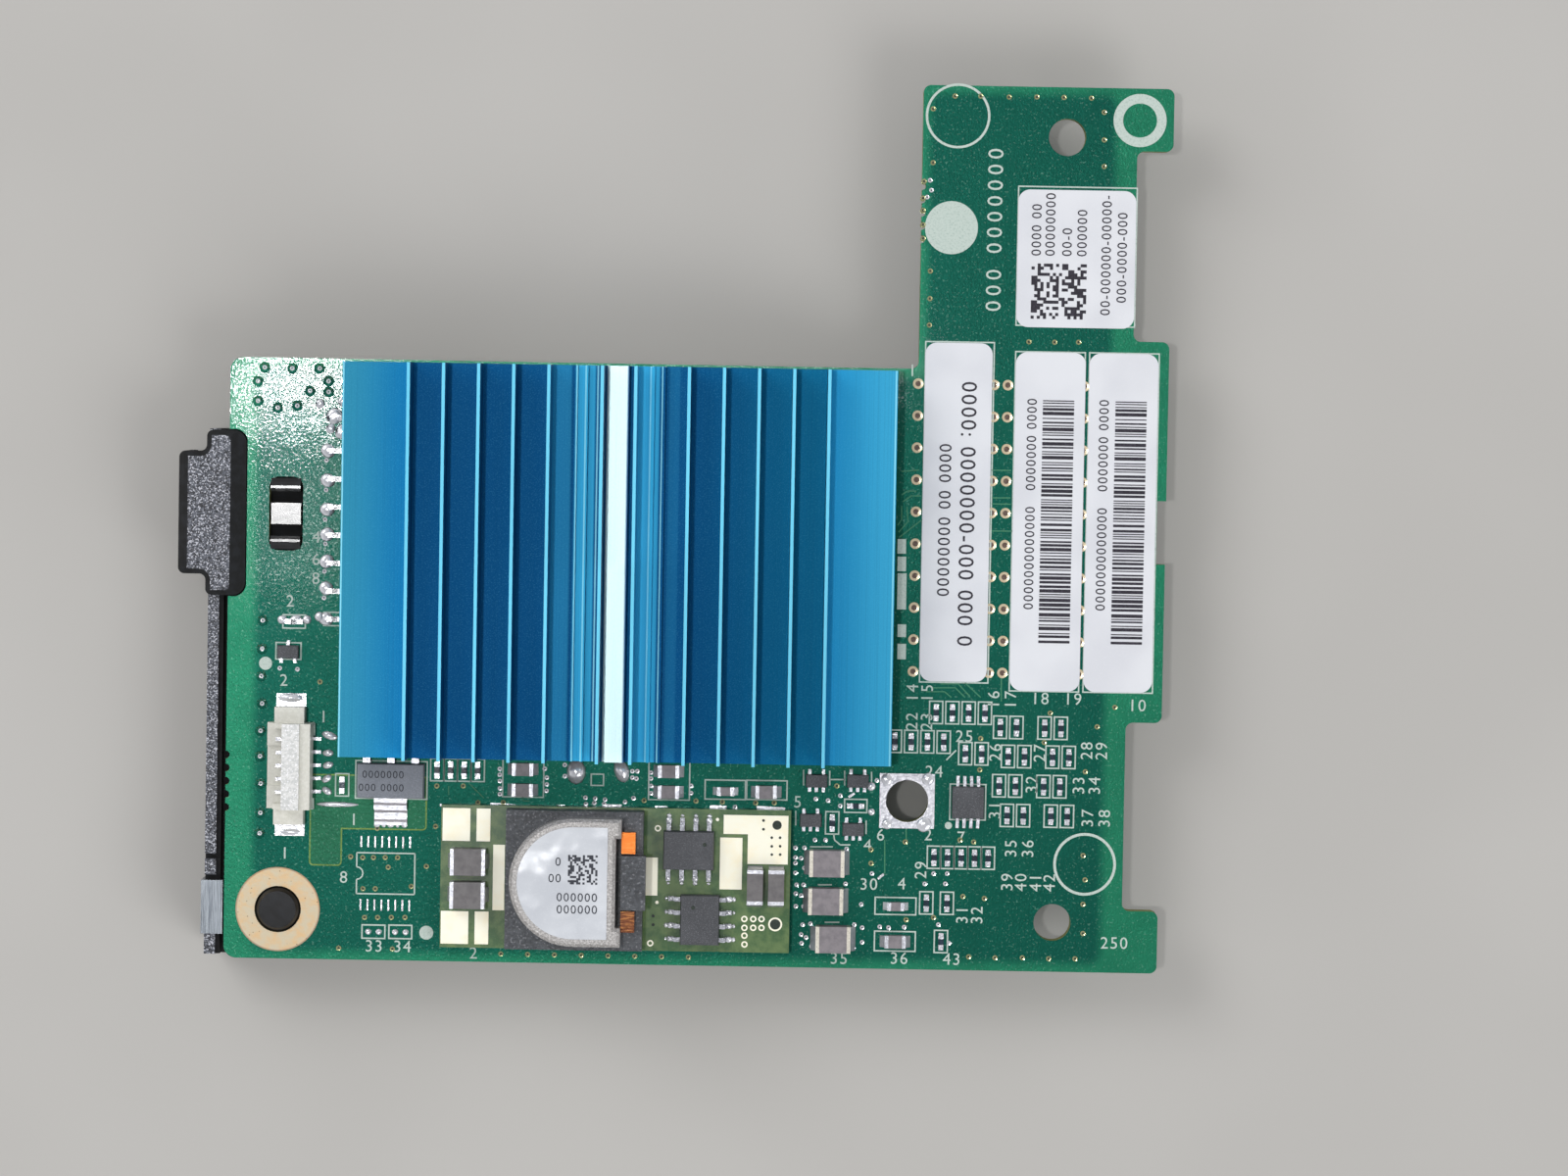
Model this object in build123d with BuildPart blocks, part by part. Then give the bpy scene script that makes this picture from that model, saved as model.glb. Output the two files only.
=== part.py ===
from build123d import *
import math
import os

# Fibre channel expansion card for a blade server: a small mezzanine board that lies
# component side up on its two stacking connectors and on the moulded clip at its left edge.
# Frame: +X to the card's right edge, +Y to its far edge, +Z up from the resting plane.
# The origin is below the middle of the whole card, on the plane it rests on.

os.makedirs("parts", exist_ok=True)

# Board outline
card_length = 88.5
service_depth = 19.65
sink_margin = 0.25
board_thickness = 1.6
clip_overhang = 4.7
wing_length = 23.6
wing_rise = 26.7
edge_step = 3.4
middle_tab_width = 36.0
end_tab_width = 5.9
large_corner = 1.2
small_corner = 0.7
pick_margin = 0.1
stack_height = 6.0

# Break-off perforations left along the edges
bite_radius = 0.37
bite_pitch = 1.25
bite_count = 5
bite_near_inset = 16.8
bite_far_inset = 12.0
relief_width = 6.0
relief_depth = 0.85

# Holes
fixing_hole_radius = 1.75
fixing_inset = 10.0
fixing_edge = 4.7
ground_hole_radius = 2.0
ground_hole_x = 22.65
ground_hole_y = 16.0
ground_pad_side = 5.2
locating_hole_radius = 2.2
locating_ring_radius = 4.0
locating_inset = 5.1
slot_width = 3.2
slot_length = 7.0
slot_corner = 1.0
slot_inset = 5.4
copper_thickness = 0.08

# Edge clip
clip_clearance = 0.1
clip_plate_thickness = 2.0
clip_plate_reach = 9.6
clip_bar_width = 1.45
clip_bar_gap = 0.45
clip_bar_drop = 0.3
clip_tab_length = 15.8
clip_tab_lip_length = 11.6
clip_tab_rise = 0.9
clip_tab_inner = 1.7
clip_tab_shoulder = 2.6
clip_lip_depth = 3.4
clip_lip_wall = 1.1
clip_groove_width = 1.5
clip_edge_radius = 0.6
clip_rim_width = 0.5
clip_bevel_width = 1.4
clip_bevel_height = 0.8
clip_bar_shoulder = 0.4
clip_groove_depth = 0.6
clip_groove_gap = 0.5
clip_block_length = 1.5
clip_inset = 14.7
clip_window_length = 4.6
clip_window_width = 4.4
clip_window_pitch = 7.4
clip_window_count = 4
clip_foot = 0.3
post_dome = 0.5
post_slope_angle = 35
barb_rise = 0.7
barb_round = 0.3
barb_thickness = 0.9
barb_overhang = 0.35
barb_rest_gap = 0.15
snap_core_length = 2.0

# Steel latch over the bar
latch_thickness = 0.3
latch_length = 5.1
latch_leg = 4.2
latch_offset = 4.5

# Stacking connectors on the underside
connector_width = 5.6
connector_length = 32.0
connector_pitch = 8.5
connector_inset = 15.95
connector_wall = 0.7
connector_end = 1.5
connector_channel = 1.1
connector_recess = 3.6
connector_key = 1.2
contact_pitch = 0.6
contact_count = 48
contact_width = 0.25
contact_thickness = 0.2
contact_reach = 0.7

# Controller and its heat sink
sink_length = 51.8
sink_width = 37.0
sink_centre_x = -4.95
sink_base = 2.0
fin_pitch = 3.25
fin_height = 3.5
fin_thickness = 0.42
fin_tip_loss = 0.12
fins_per_side = 5
first_fin = 2
middle_fin_offset = 1.55
middle_rib_width = 1.8
middle_rib_height = 1.0
low_rib_offsets = (3.1, 4.1)
low_rib_width = 0.3
low_rib_height = 0.6
controller_side = 27.0
controller_height = 2.0
controller_gap = 0.3
controller_lid_side = 17.0
controller_lid_height = 0.7
pad_side = 25.0
pad_thickness = 0.25

# Side-entry wire header
header_inset = 6.15
header_y = 18.45
header_depth = 4.2
header_length = 8.1
header_height = 3.4
header_wall = 0.5
header_lip_depth = 1.55
header_lip_height = 1.4
header_lip_dip = 0.35
header_lip_dip_length = 3.8
header_rib_height = 2.4
header_rib_length = 0.9
header_rear_depth = 1.0
header_rear_drop = 0.35
header_cavity_depth = 1.6
header_pin_pitch = 1.25
header_pin_count = 5
header_pin_side = 0.32
header_pin_reach = 0.7
header_ear_depth = 2.8
header_ear_length = 1.5
header_ear_height = 1.9
header_tab_length = 1.2
header_tab_thickness = 0.2
header_foot_reach = 0.8

# Three-terminal regulator
regulator_x = -26.2
regulator_y = 17.15
regulator_length = 6.4
regulator_width = 3.35
regulator_height = 1.6
regulator_lead_pitch = 2.3
regulator_lead_width = 0.7
regulator_tab_width = 3.1
regulator_lead_reach = 1.3
regulator_tab_reach = 2.6

# Power module
module_x = -4.8
module_y = 8.3
module_length = 33.0
module_width = 13.5
module_board_thickness = 1.0
module_standoff = 0.8
module_land_pitch = 2.54
module_land_count = 12
module_land_width = 1.4
module_land_depth = 1.0
inductor_x = -8.6
inductor_length = 12.9
inductor_width = 13.1
inductor_base_height = 2.4
cover_radius = 6.0
cover_length = 10.45
cover_height = 2.2
cover_ear = 0.9
cover_bevel = 0.3
cover_ear_notch = 0.5
cover_left = -14.6
label_inset = 0.75
label_thickness = 0.1
winding_length = 1.3
winding_width = 2.0
winding_height = 0.9
winding_offset = 3.7
core_length = 2.3
core_width = 5.1
core_height = 1.5

# Small outline packages
package_draft_angle = 8
driver_x = 2.1
driver_y = 11.2
driver_length = 4.8
driver_width = 3.7
driver_height = 1.45
switch_x = 3.25
switch_y = 4.65
switch_length = 3.7
switch_width = 4.8
lead_pitch = 1.27
leads_per_side = 4
lead_width = 0.42
lead_reach = 1.15
lead_thickness = 0.2
memory_x = 28.4
memory_y = 16.0
memory_side = 3.05
memory_height = 0.95
memory_pitch = 0.65
memory_lead_width = 0.3
memory_lead_reach = 0.95
gate_length = 2.05
gate_width = 1.25
gate_height = 0.9
gate_lead_reach = 0.45
gate_lead_thickness = 0.15
transistor_inset = 5.8

# Chip parts
chip_width = 0.5
chip_length = 1.0
chip_height = 0.38
chip_terminal = 0.22
cell_pitch = 1.54
close_pitch = 1.28
cap_width = 1.2
cap_length = 2.0
cap_height = 0.9
cap_terminal = 0.35
bulk_width = 2.5
bulk_length = 3.3
bulk_height = 1.8
bulk_terminal = 0.35
slim_width = 1.5
slim_length = 3.3
slim_height = 1.4
bead_width = 0.8
bead_length = 1.6
bead_height = 0.8
bead_terminal = 0.35
terminal_lap = 0.03

# Paper labels
label_corner = 1.1
label_length = 32.0
left_label_width = 6.35
middle_label_width = 6.6
right_label_width = 6.5
code_label_width = 11.1
code_label_length = 12.95
label_edge_gap = 1.0
label_row_gap = 0.35
label_column_gap = 2.2
left_label_inset = 27.4
lower_label_inset = 26.65
code_label_gap = 2.35
code_label_shift = 2.2

# Levels
board_bottom = stack_height
board_top = stack_height + board_thickness
controller_top = board_top + controller_gap + controller_height + controller_lid_height
sink_bottom = controller_top + pad_thickness
module_bottom = board_top + module_standoff
module_top = module_bottom + module_board_thickness
inductor_top = module_top + inductor_base_height

# Edges and centres; every place in Y below is measured from the near edge
main_depth = service_depth + sink_width + sink_margin
card_width = main_depth + wing_rise
overall_length = card_length + clip_overhang
board_right = overall_length / 2
board_left = board_right - card_length
board_centre_x = board_right - card_length / 2
half_width = card_width / 2
near_edge = -half_width
main_top = near_edge + main_depth
sink_centre_y = near_edge + service_depth + sink_width / 2
wing_left = board_right - wing_length
step_width = half_width - end_tab_width - middle_tab_width / 2
step_centre_y = (middle_tab_width + step_width) / 2
fixing_x = board_right - fixing_inset
fixing_y = half_width - fixing_edge
locating_x = board_left + locating_inset
locating_y = near_edge + fixing_edge
slot_x = board_left + slot_inset
bar_right = board_left - clip_bar_gap
bar_left = bar_right - clip_bar_width
bar_top = board_top - clip_bar_drop
clip_centre_y = main_top - clip_inset
clip_low_y = near_edge + clip_foot
clip_high_y = clip_centre_y + clip_tab_length / 2
tab_left = board_left - clip_overhang
tab_right = board_left + clip_tab_inner - clip_clearance
tab_top = board_top + clip_tab_rise
connector_centre_x = board_right - connector_inset
header_x = board_left + header_inset
header_centre_y = near_edge + header_y
module_centre_y = near_edge + module_y

# Printed board with its stepped right edge, wing, clip notch and break-off marks
with BuildPart() as board:
    with BuildSketch(Plane.XY.offset(board_bottom)) as board_outline:
        with Locations((board_centre_x, 0)):
            Rectangle(card_length, card_width)
        with Locations((board_left, main_top)):
            Rectangle(card_length - wing_length, wing_rise, align=(Align.MIN, Align.MIN), mode=Mode.SUBTRACT)
        with Locations((board_right, step_centre_y), (board_right, -step_centre_y)):
            Rectangle(edge_step, step_width, align=(Align.MAX, Align.CENTER), mode=Mode.SUBTRACT)
        fillet(board_outline.vertices().group_by(Axis.X)[0], large_corner)
        wing_span = (wing_left - pick_margin, board_right + pick_margin)
        fillet(board_outline.vertices().filter_by_position(Axis.X, *wing_span), small_corner)
        with Locations((board_left, clip_centre_y)):
            RectangleRounded(2 * clip_tab_inner, clip_tab_length, large_corner, mode=Mode.SUBTRACT)
        with Locations((board_right, 0)):
            Rectangle(2 * relief_depth, relief_width, mode=Mode.SUBTRACT)
        bite_places = [(board_left, near_edge + bite_near_inset), (wing_left, half_width - bite_far_inset)]
        with Locations(*bite_places):
            with GridLocations(1, bite_pitch, 1, bite_count):
                Circle(bite_radius, mode=Mode.SUBTRACT)
        with Locations((slot_x, clip_centre_y)):
            RectangleRounded(slot_width, slot_length, slot_corner, mode=Mode.SUBTRACT)
    extrude(amount=board_thickness)
    with Locations((fixing_x, fixing_y, board_top), (fixing_x, -fixing_y, board_top)):
        Hole(radius=fixing_hole_radius)
    with Locations((ground_hole_x, near_edge + ground_hole_y, board_top)):
        Hole(radius=ground_hole_radius)
    with Locations((locating_x, locating_y, board_top)):
        Hole(radius=locating_hole_radius)
board.part.label = "board"
export_step(board.part, "parts/board.step")

# Tinned land around the ground hole
with BuildPart() as ground_land:
    with BuildSketch(Plane.XY.offset(board_top)):
        with Locations((ground_hole_x, near_edge + ground_hole_y)):
            Rectangle(ground_pad_side, ground_pad_side)
            Circle(ground_hole_radius, mode=Mode.SUBTRACT)
    extrude(amount=copper_thickness)
ground_land.part.label = "ground_land"
export_step(ground_land.part, "parts/ground_land.step")

# Bare copper ring around the locating hole
with BuildPart() as locating_ring:
    with BuildSketch(Plane.XY.offset(board_top)):
        with Locations((locating_x, locating_y)):
            Circle(locating_ring_radius)
            Circle(locating_hole_radius, mode=Mode.SUBTRACT)
    extrude(amount=copper_thickness)
locating_ring.part.label = "locating_ring"
export_step(locating_ring.part, "parts/locating_ring.step")

# Moulded clip: plate under the board, bar along the edge, hooked tab, post and barbed snap
with BuildPart() as edge_clip:
    with BuildSketch(Plane.XY.offset(board_bottom - clip_plate_thickness)):
        with Locations((bar_left, clip_low_y)):
            plate_run = clip_high_y - clip_low_y
            Rectangle(clip_plate_reach, plate_run, align=(Align.MIN, Align.MIN))
        with Locations((bar_left + clip_bar_width + clip_window_length, (locating_y + clip_centre_y) / 2)):
            with GridLocations(1, clip_window_pitch, 1, clip_window_count):
                RectangleRounded(clip_window_length, clip_window_width, clip_edge_radius, mode=Mode.SUBTRACT)
    extrude(amount=clip_plate_thickness)
    with BuildSketch(Plane.XY):
        with Locations((bar_left, clip_low_y)):
            Rectangle(clip_bar_width, plate_run, align=(Align.MIN, Align.MIN))
    extrude(amount=bar_top - clip_bar_shoulder)
    with BuildSketch(Plane.XY.offset(bar_top - clip_bar_shoulder)):
        with Locations((bar_left, clip_low_y)):
            Rectangle(clip_bar_width - clip_bar_shoulder, plate_run, align=(Align.MIN, Align.MIN))
    extrude(amount=clip_bar_shoulder)
    with BuildSketch(Plane.XY.offset(bar_top)):
        block_y = clip_low_y + latch_offset + (latch_length + clip_block_length) / 2 + clip_groove_gap
        groove_pitch = clip_block_length + clip_groove_gap
        with Locations((bar_left, block_y)):
            with GridLocations(1, groove_pitch, 1, 2):
                Rectangle(3 * clip_bar_width, clip_groove_gap)
    extrude(amount=-clip_groove_depth, mode=Mode.SUBTRACT)
    with BuildSketch(Plane.XY.offset(board_bottom - clip_lip_depth)) as tab_outline:
        with Locations((tab_right, clip_centre_y)):
            Rectangle(tab_right - tab_left - clip_tab_shoulder, clip_tab_length - 2 * clip_clearance,
                      align=(Align.MAX, Align.CENTER))
            Rectangle(tab_right - tab_left, clip_tab_lip_length, align=(Align.MAX, Align.CENTER))
        fillet(tab_outline.vertices().group_by(Axis.X)[-1], large_corner)
        tab_span = (tab_left - pick_margin, tab_right - large_corner - pick_margin)
        fillet(tab_outline.vertices().filter_by_position(Axis.X, *tab_span), clip_edge_radius)
    extrude(amount=tab_top - board_bottom + clip_lip_depth)
    chamfer(edge_clip.faces().sort_by(Axis.Z)[-1].edges(), length=clip_rim_width)
    with BuildSketch(Plane.XZ.offset(-clip_centre_y)):
        with BuildLine():
            Polyline((tab_right - clip_bevel_width, tab_top), (tab_right, tab_top),
                     (tab_right, tab_top - clip_bevel_height), close=True)
        make_face()
    extrude(amount=clip_tab_length / 2, both=True, mode=Mode.SUBTRACT)
    with BuildSketch(Plane.XY.offset(board_bottom - clip_lip_depth)):
        with Locations((tab_left + clip_lip_wall, clip_centre_y)):
            Rectangle(clip_groove_width, clip_tab_length, align=(Align.MIN, Align.CENTER))
    extrude(amount=clip_lip_depth + board_thickness, mode=Mode.SUBTRACT)
    with BuildSketch(Plane.XY.offset(board_bottom)):
        with Locations((locating_x, locating_y)):
            Circle(locating_hole_radius - clip_clearance)
    extrude(amount=board_thickness)
    with BuildSketch(Plane.XY.offset(board_top)):
        with Locations((locating_x, locating_y)):
            Circle(locating_hole_radius - clip_clearance)
    extrude(amount=post_dome, taper=post_slope_angle)
    snap_width = slot_width - 2 * clip_clearance
    snap_half = slot_length / 2 - slot_corner / 2
    snap_plane = Plane(origin=(slot_x, clip_centre_y, board_bottom), x_dir=(0, 1, 0), z_dir=(1, 0, 0))
    with BuildSketch(snap_plane):
        Rectangle(snap_core_length, board_thickness, align=(Align.CENTER, Align.MIN))
        with BuildLine() as barb_line:
            barb_seat = board_thickness + barb_rest_gap
            barb_top = board_thickness + barb_rise
            barb_back = snap_half - barb_thickness
            Polyline((barb_back, 0), (snap_half - clip_clearance, 0),
                     (snap_half - clip_clearance, barb_seat), (snap_half + barb_overhang, barb_seat),
                     (snap_half, barb_top - barb_round), (snap_half - barb_overhang, barb_top),
                     (barb_back + barb_round, barb_top), (barb_back, barb_top - barb_round), close=True)
        make_face()
        mirror(about=Plane.YZ)
    extrude(amount=snap_width / 2 - clip_clearance, both=True)
edge_clip.part.label = "edge_clip"
export_step(edge_clip.part, "parts/edge_clip.step")

# Folded steel latch that sits over the bar
with BuildPart() as edge_latch:
    latch_y = clip_low_y + latch_offset
    latch_plane = Plane(origin=(0, latch_y, 0), x_dir=(1, 0, 0), z_dir=(0, -1, 0))
    with BuildSketch(latch_plane):
        with BuildLine():
            Polyline((bar_left - latch_thickness, bar_top + latch_thickness),
                     (bar_right + latch_thickness, bar_top + latch_thickness),
                     (bar_right + latch_thickness, board_bottom),
                     (bar_right, board_bottom), (bar_right, bar_top), (bar_left, bar_top),
                     (bar_left, bar_top - latch_leg), (bar_left - latch_thickness, bar_top - latch_leg),
                     close=True)
        make_face()
    extrude(amount=latch_length / 2, both=True)
edge_latch.part.label = "edge_latch"
export_step(edge_latch.part, "parts/edge_latch.step")

# Two stacking receptacles: walls, a contact tongue down the middle and a keyed end
with BuildPart() as connector_housings:
    with BuildSketch(Plane.XY):
        with Locations((connector_centre_x, 0)):
            with GridLocations(connector_pitch, 1, 2, 1):
                Rectangle(connector_width, connector_length)
    extrude(amount=stack_height)
    with BuildSketch(Plane.XY):
        with Locations((connector_centre_x, 0)):
            with GridLocations(connector_pitch, 1, 2, 1):
                channel_length = connector_length - 2 * connector_end
                Rectangle(connector_width - 2 * connector_wall, channel_length)
                tongue_width = connector_width - 2 * connector_wall - 2 * connector_channel
                Rectangle(tongue_width, channel_length - 2 * connector_key, mode=Mode.SUBTRACT)
    extrude(amount=connector_recess, mode=Mode.SUBTRACT)
connector_housings.part.label = "connector_housings"
export_step(connector_housings.part, "parts/connector_housings.step")

# Soldered feet of the stacking contacts along both sides of each housing
with BuildPart() as connector_contacts:
    with BuildSketch(Plane.XY.offset(board_bottom)):
        with Locations((connector_centre_x, 0)):
            with GridLocations(connector_pitch, 1, 2, 1):
                foot_spacing = connector_width + contact_reach
                with GridLocations(foot_spacing, contact_pitch, 2, contact_count):
                    Rectangle(contact_reach, contact_width)
    extrude(amount=-contact_thickness)
connector_contacts.part.label = "connector_contacts"
export_step(connector_contacts.part, "parts/connector_contacts.step")

# Controller package with its raised lid
with BuildPart() as controller:
    with BuildSketch(Plane.XY.offset(board_top + controller_gap)):
        with Locations((sink_centre_x, sink_centre_y)):
            Rectangle(controller_side, controller_side)
    extrude(amount=controller_height)
    with BuildSketch(Plane.XY.offset(board_top + controller_gap + controller_height)):
        with Locations((sink_centre_x, sink_centre_y)):
            Rectangle(controller_lid_side, controller_lid_side)
    extrude(amount=controller_lid_height)
controller.part.label = "controller"
export_step(controller.part, "parts/controller.step")

# Thermal pad between the lid and the sink
with BuildPart() as thermal_pad:
    with BuildSketch(Plane.XY.offset(controller_top)):
        with Locations((sink_centre_x, sink_centre_y)):
            Rectangle(pad_side, pad_side)
    extrude(amount=pad_thickness)
thermal_pad.part.label = "thermal_pad"
export_step(thermal_pad.part, "parts/thermal_pad.step")

# Extruded heat sink: flat ledges, thin tapered fins and a low ribbed channel in the middle
with BuildPart() as heat_sink:
    sink_end = sink_centre_y + sink_width / 2
    sink_plane = Plane(origin=(sink_centre_x, sink_end, sink_bottom), x_dir=(1, 0, 0), z_dir=(0, -1, 0))
    with BuildSketch(sink_plane):
        Rectangle(sink_length, sink_base, align=(Align.CENTER, Align.MIN))
        fin_side_angle = math.degrees(math.atan2(fin_height, fin_tip_loss / 2))
        fin_offsets = [fin_pitch * (first_fin + step) for step in range(fins_per_side)]
        fin_offsets.append(middle_fin_offset)
        for offset in fin_offsets:
            with Locations((offset, sink_base), (-offset, sink_base)):
                Trapezoid(fin_thickness, fin_height, fin_side_angle, align=(Align.CENTER, Align.MIN))
        for offset in low_rib_offsets:
            with Locations((offset, sink_base), (-offset, sink_base)):
                Rectangle(low_rib_width, low_rib_height, align=(Align.CENTER, Align.MIN))
        with Locations((0, sink_base)):
            Rectangle(middle_rib_width, middle_rib_height, align=(Align.CENTER, Align.MIN))
    extrude(amount=sink_width)
heat_sink.part.label = "heat_sink"
export_step(heat_sink.part, "parts/heat_sink.step")

# Ivory side-entry header: shell over a low front lip with a dip, end ribs and an ear at each end
with BuildPart() as header_housing:
    header_left = header_x - header_depth / 2
    header_right = header_x + header_depth / 2
    shell_left = header_left + header_lip_depth
    with BuildSketch(Plane.XY.offset(board_top)):
        with Locations((header_x, header_centre_y)):
            Rectangle(header_depth, header_length)
    extrude(amount=header_lip_height)
    with BuildSketch(Plane.XY.offset(board_top + header_lip_height)):
        with Locations((header_left, header_centre_y)):
            Rectangle(header_lip_depth, header_lip_dip_length, align=(Align.MIN, Align.CENTER))
    extrude(amount=-header_lip_dip, mode=Mode.SUBTRACT)
    with BuildSketch(Plane.XY.offset(board_top + header_lip_height)):
        with Locations((shell_left, header_centre_y)):
            shell_depth = header_depth - header_lip_depth
            Rectangle(shell_depth, header_length, align=(Align.MIN, Align.CENTER))
    extrude(amount=header_height - header_lip_height)
    with BuildSketch(Plane.XY.offset(board_top + header_height)):
        with Locations((header_right, header_centre_y)):
            Rectangle(header_rear_depth, header_length, align=(Align.MAX, Align.CENTER))
    extrude(amount=-header_rear_drop, mode=Mode.SUBTRACT)
    with BuildSketch(Plane.XY.offset(board_top + header_lip_height)):
        with Locations((shell_left, header_centre_y)):
            Rectangle(header_cavity_depth, header_length - 2 * header_wall, align=(Align.MIN, Align.CENTER))
    extrude(amount=header_height - header_lip_height - header_wall, mode=Mode.SUBTRACT)
    rib_y = (header_length - header_wall) / 2
    with BuildSketch(Plane.XY.offset(board_top + header_lip_height)):
        with Locations((shell_left, header_centre_y + rib_y), (shell_left, header_centre_y - rib_y)):
            Rectangle(header_rib_length, header_wall, align=(Align.MAX, Align.CENTER))
    extrude(amount=header_rib_height - header_lip_height)
    ear_y = (header_length + header_ear_length) / 2
    with BuildSketch(Plane.XY.offset(board_top)):
        with Locations((header_x, header_centre_y + ear_y), (header_x, header_centre_y - ear_y)):
            Rectangle(header_ear_depth, header_ear_length)
    extrude(amount=header_ear_height)
header_housing.part.label = "header_housing"
export_step(header_housing.part, "parts/header_housing.step")

# Header contacts: square pins that reach over the lip and feet behind the body
with BuildPart() as header_contacts:
    with BuildSketch(Plane.XY.offset(board_top + header_lip_height)):
        with Locations((shell_left + header_cavity_depth, header_centre_y)):
            with GridLocations(1, header_pin_pitch, 1, header_pin_count):
                pin_length = header_cavity_depth + header_pin_reach
                Rectangle(pin_length, header_pin_side, align=(Align.MAX, Align.CENTER))
    extrude(amount=header_pin_side)
    with BuildSketch(Plane.XY.offset(board_top)):
        with Locations((header_right, header_centre_y)):
            with GridLocations(1, header_pin_pitch, 1, header_pin_count):
                Rectangle(header_foot_reach, header_pin_side, align=(Align.MIN, Align.CENTER))
    extrude(amount=header_pin_side)
header_contacts.part.label = "header_contacts"
export_step(header_contacts.part, "parts/header_contacts.step")

# Solder tabs that hold the header's ears
with BuildPart() as header_tabs:
    tab_y = header_length / 2 + header_ear_length + header_tab_length / 2
    with BuildSketch(Plane.XY.offset(board_top)):
        with Locations((header_x, header_centre_y + tab_y), (header_x, header_centre_y - tab_y)):
            Rectangle(header_ear_depth, header_tab_length)
    extrude(amount=header_tab_thickness)
header_tabs.part.label = "header_tabs"
export_step(header_tabs.part, "parts/header_tabs.step")


def lead_planes(centre_x, centre_y, seat, half_span, offsets, side, along_x):
    """Planes across one row of leads, local X outwards and local Y up."""
    planes = []
    row_y = near_edge + centre_y
    for offset in offsets:
        if along_x:
            origin = (centre_x + offset, row_y + side * half_span, seat)
            outward = (0, side, 0)
        else:
            origin = (centre_x + side * half_span, row_y + offset, seat)
            outward = (side, 0, 0)
        across = Vector(*outward).cross(Vector(0, 0, 1))
        planes.append(Plane(origin=origin, x_dir=outward, z_dir=across))
    return planes


def row_offsets(pitch, count):
    """Places of a centred row."""
    return [pitch * (index - (count - 1) / 2) for index in range(count)]


def gull_wing(planes, width, reach, body_height, thickness):
    """Bent leads on the planes: out of the body at half its height, down and along the land."""
    knee = reach / 3
    rise = (body_height + thickness) / 2
    with BuildSketch(*planes) as profile:
        with BuildLine():
            Polyline((0, rise - thickness), (knee, rise - thickness), (knee, 0), (reach, 0),
                     (reach, thickness), (knee + thickness, thickness), (knee + thickness, rise),
                     (0, rise), close=True)
        make_face()
    extrude(profile.sketch, amount=width / 2, both=True)


def slab(seat, height, length, width, places):
    """Rectangular bodies of one size on a level, at the places."""
    with BuildSketch(Plane.XY.offset(seat)) as outline:
        with Locations((0, near_edge)):
            with Locations(*places):
                Rectangle(length, width)
    extrude(outline.sketch, amount=height)


def moulded_body(seat, height, length, width, places):
    """Moulded packages, widest at half height, with drafted sides above and below."""
    with BuildSketch(Plane.XY.offset(seat + height / 2)) as outline:
        with Locations((0, near_edge)):
            with Locations(*places):
                Rectangle(length, width)
    extrude(outline.sketch, amount=height / 2, taper=package_draft_angle)
    extrude(outline.sketch, amount=-height / 2, taper=package_draft_angle)


def end_caps(seat, height, length, width, terminal, places, along_x):
    """Metal ends of chip parts, a pair for each place."""
    spacing = length - terminal
    with BuildSketch(Plane.XY.offset(seat)) as outline:
        with Locations((0, near_edge)):
            with Locations(*places):
                if along_x:
                    with GridLocations(spacing, 1, 2, 1):
                        Rectangle(terminal, width)
                else:
                    with GridLocations(1, spacing, 1, 2):
                        Rectangle(width, terminal)
    extrude(outline.sketch, amount=height)


# Regulator: body, three leads and the wide heat tab
with BuildPart() as regulator_body:
    regulator_place = (regulator_x, regulator_y)
    moulded_body(board_top, regulator_height, regulator_length, regulator_width, [regulator_place])
regulator_body.part.label = "regulator_body"
export_step(regulator_body.part, "parts/regulator_body.step")

with BuildPart() as regulator_leads:
    far_row = lead_planes(regulator_x, regulator_y, board_top, regulator_width / 2,
                          row_offsets(regulator_lead_pitch, 3), 1, True)
    gull_wing(far_row, regulator_lead_width, regulator_lead_reach, regulator_height, lead_thickness)
    near_row = lead_planes(regulator_x, regulator_y, board_top, regulator_width / 2, [0], -1, True)
    gull_wing(near_row, regulator_tab_width, regulator_tab_reach, regulator_height, lead_thickness)
regulator_leads.part.label = "regulator_leads"
export_step(regulator_leads.part, "parts/regulator_leads.step")

# Power module: its own board on two rows of soldered lands
with BuildPart() as module_board:
    slab(module_bottom, module_board_thickness, module_length, module_width, [(module_x, module_y)])
module_board.part.label = "module_board"
export_step(module_board.part, "parts/module_board.step")

with BuildPart() as module_lands:
    with BuildSketch(Plane.XY.offset(board_top)):
        with Locations((module_x, module_centre_y)):
            land_spacing = module_width - module_land_depth
            with GridLocations(module_land_pitch, land_spacing, module_land_count, 2):
                Rectangle(module_land_width, module_land_depth)
    extrude(amount=module_standoff)
module_lands.part.label = "module_lands"
export_step(module_lands.part, "parts/module_lands.step")

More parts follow.
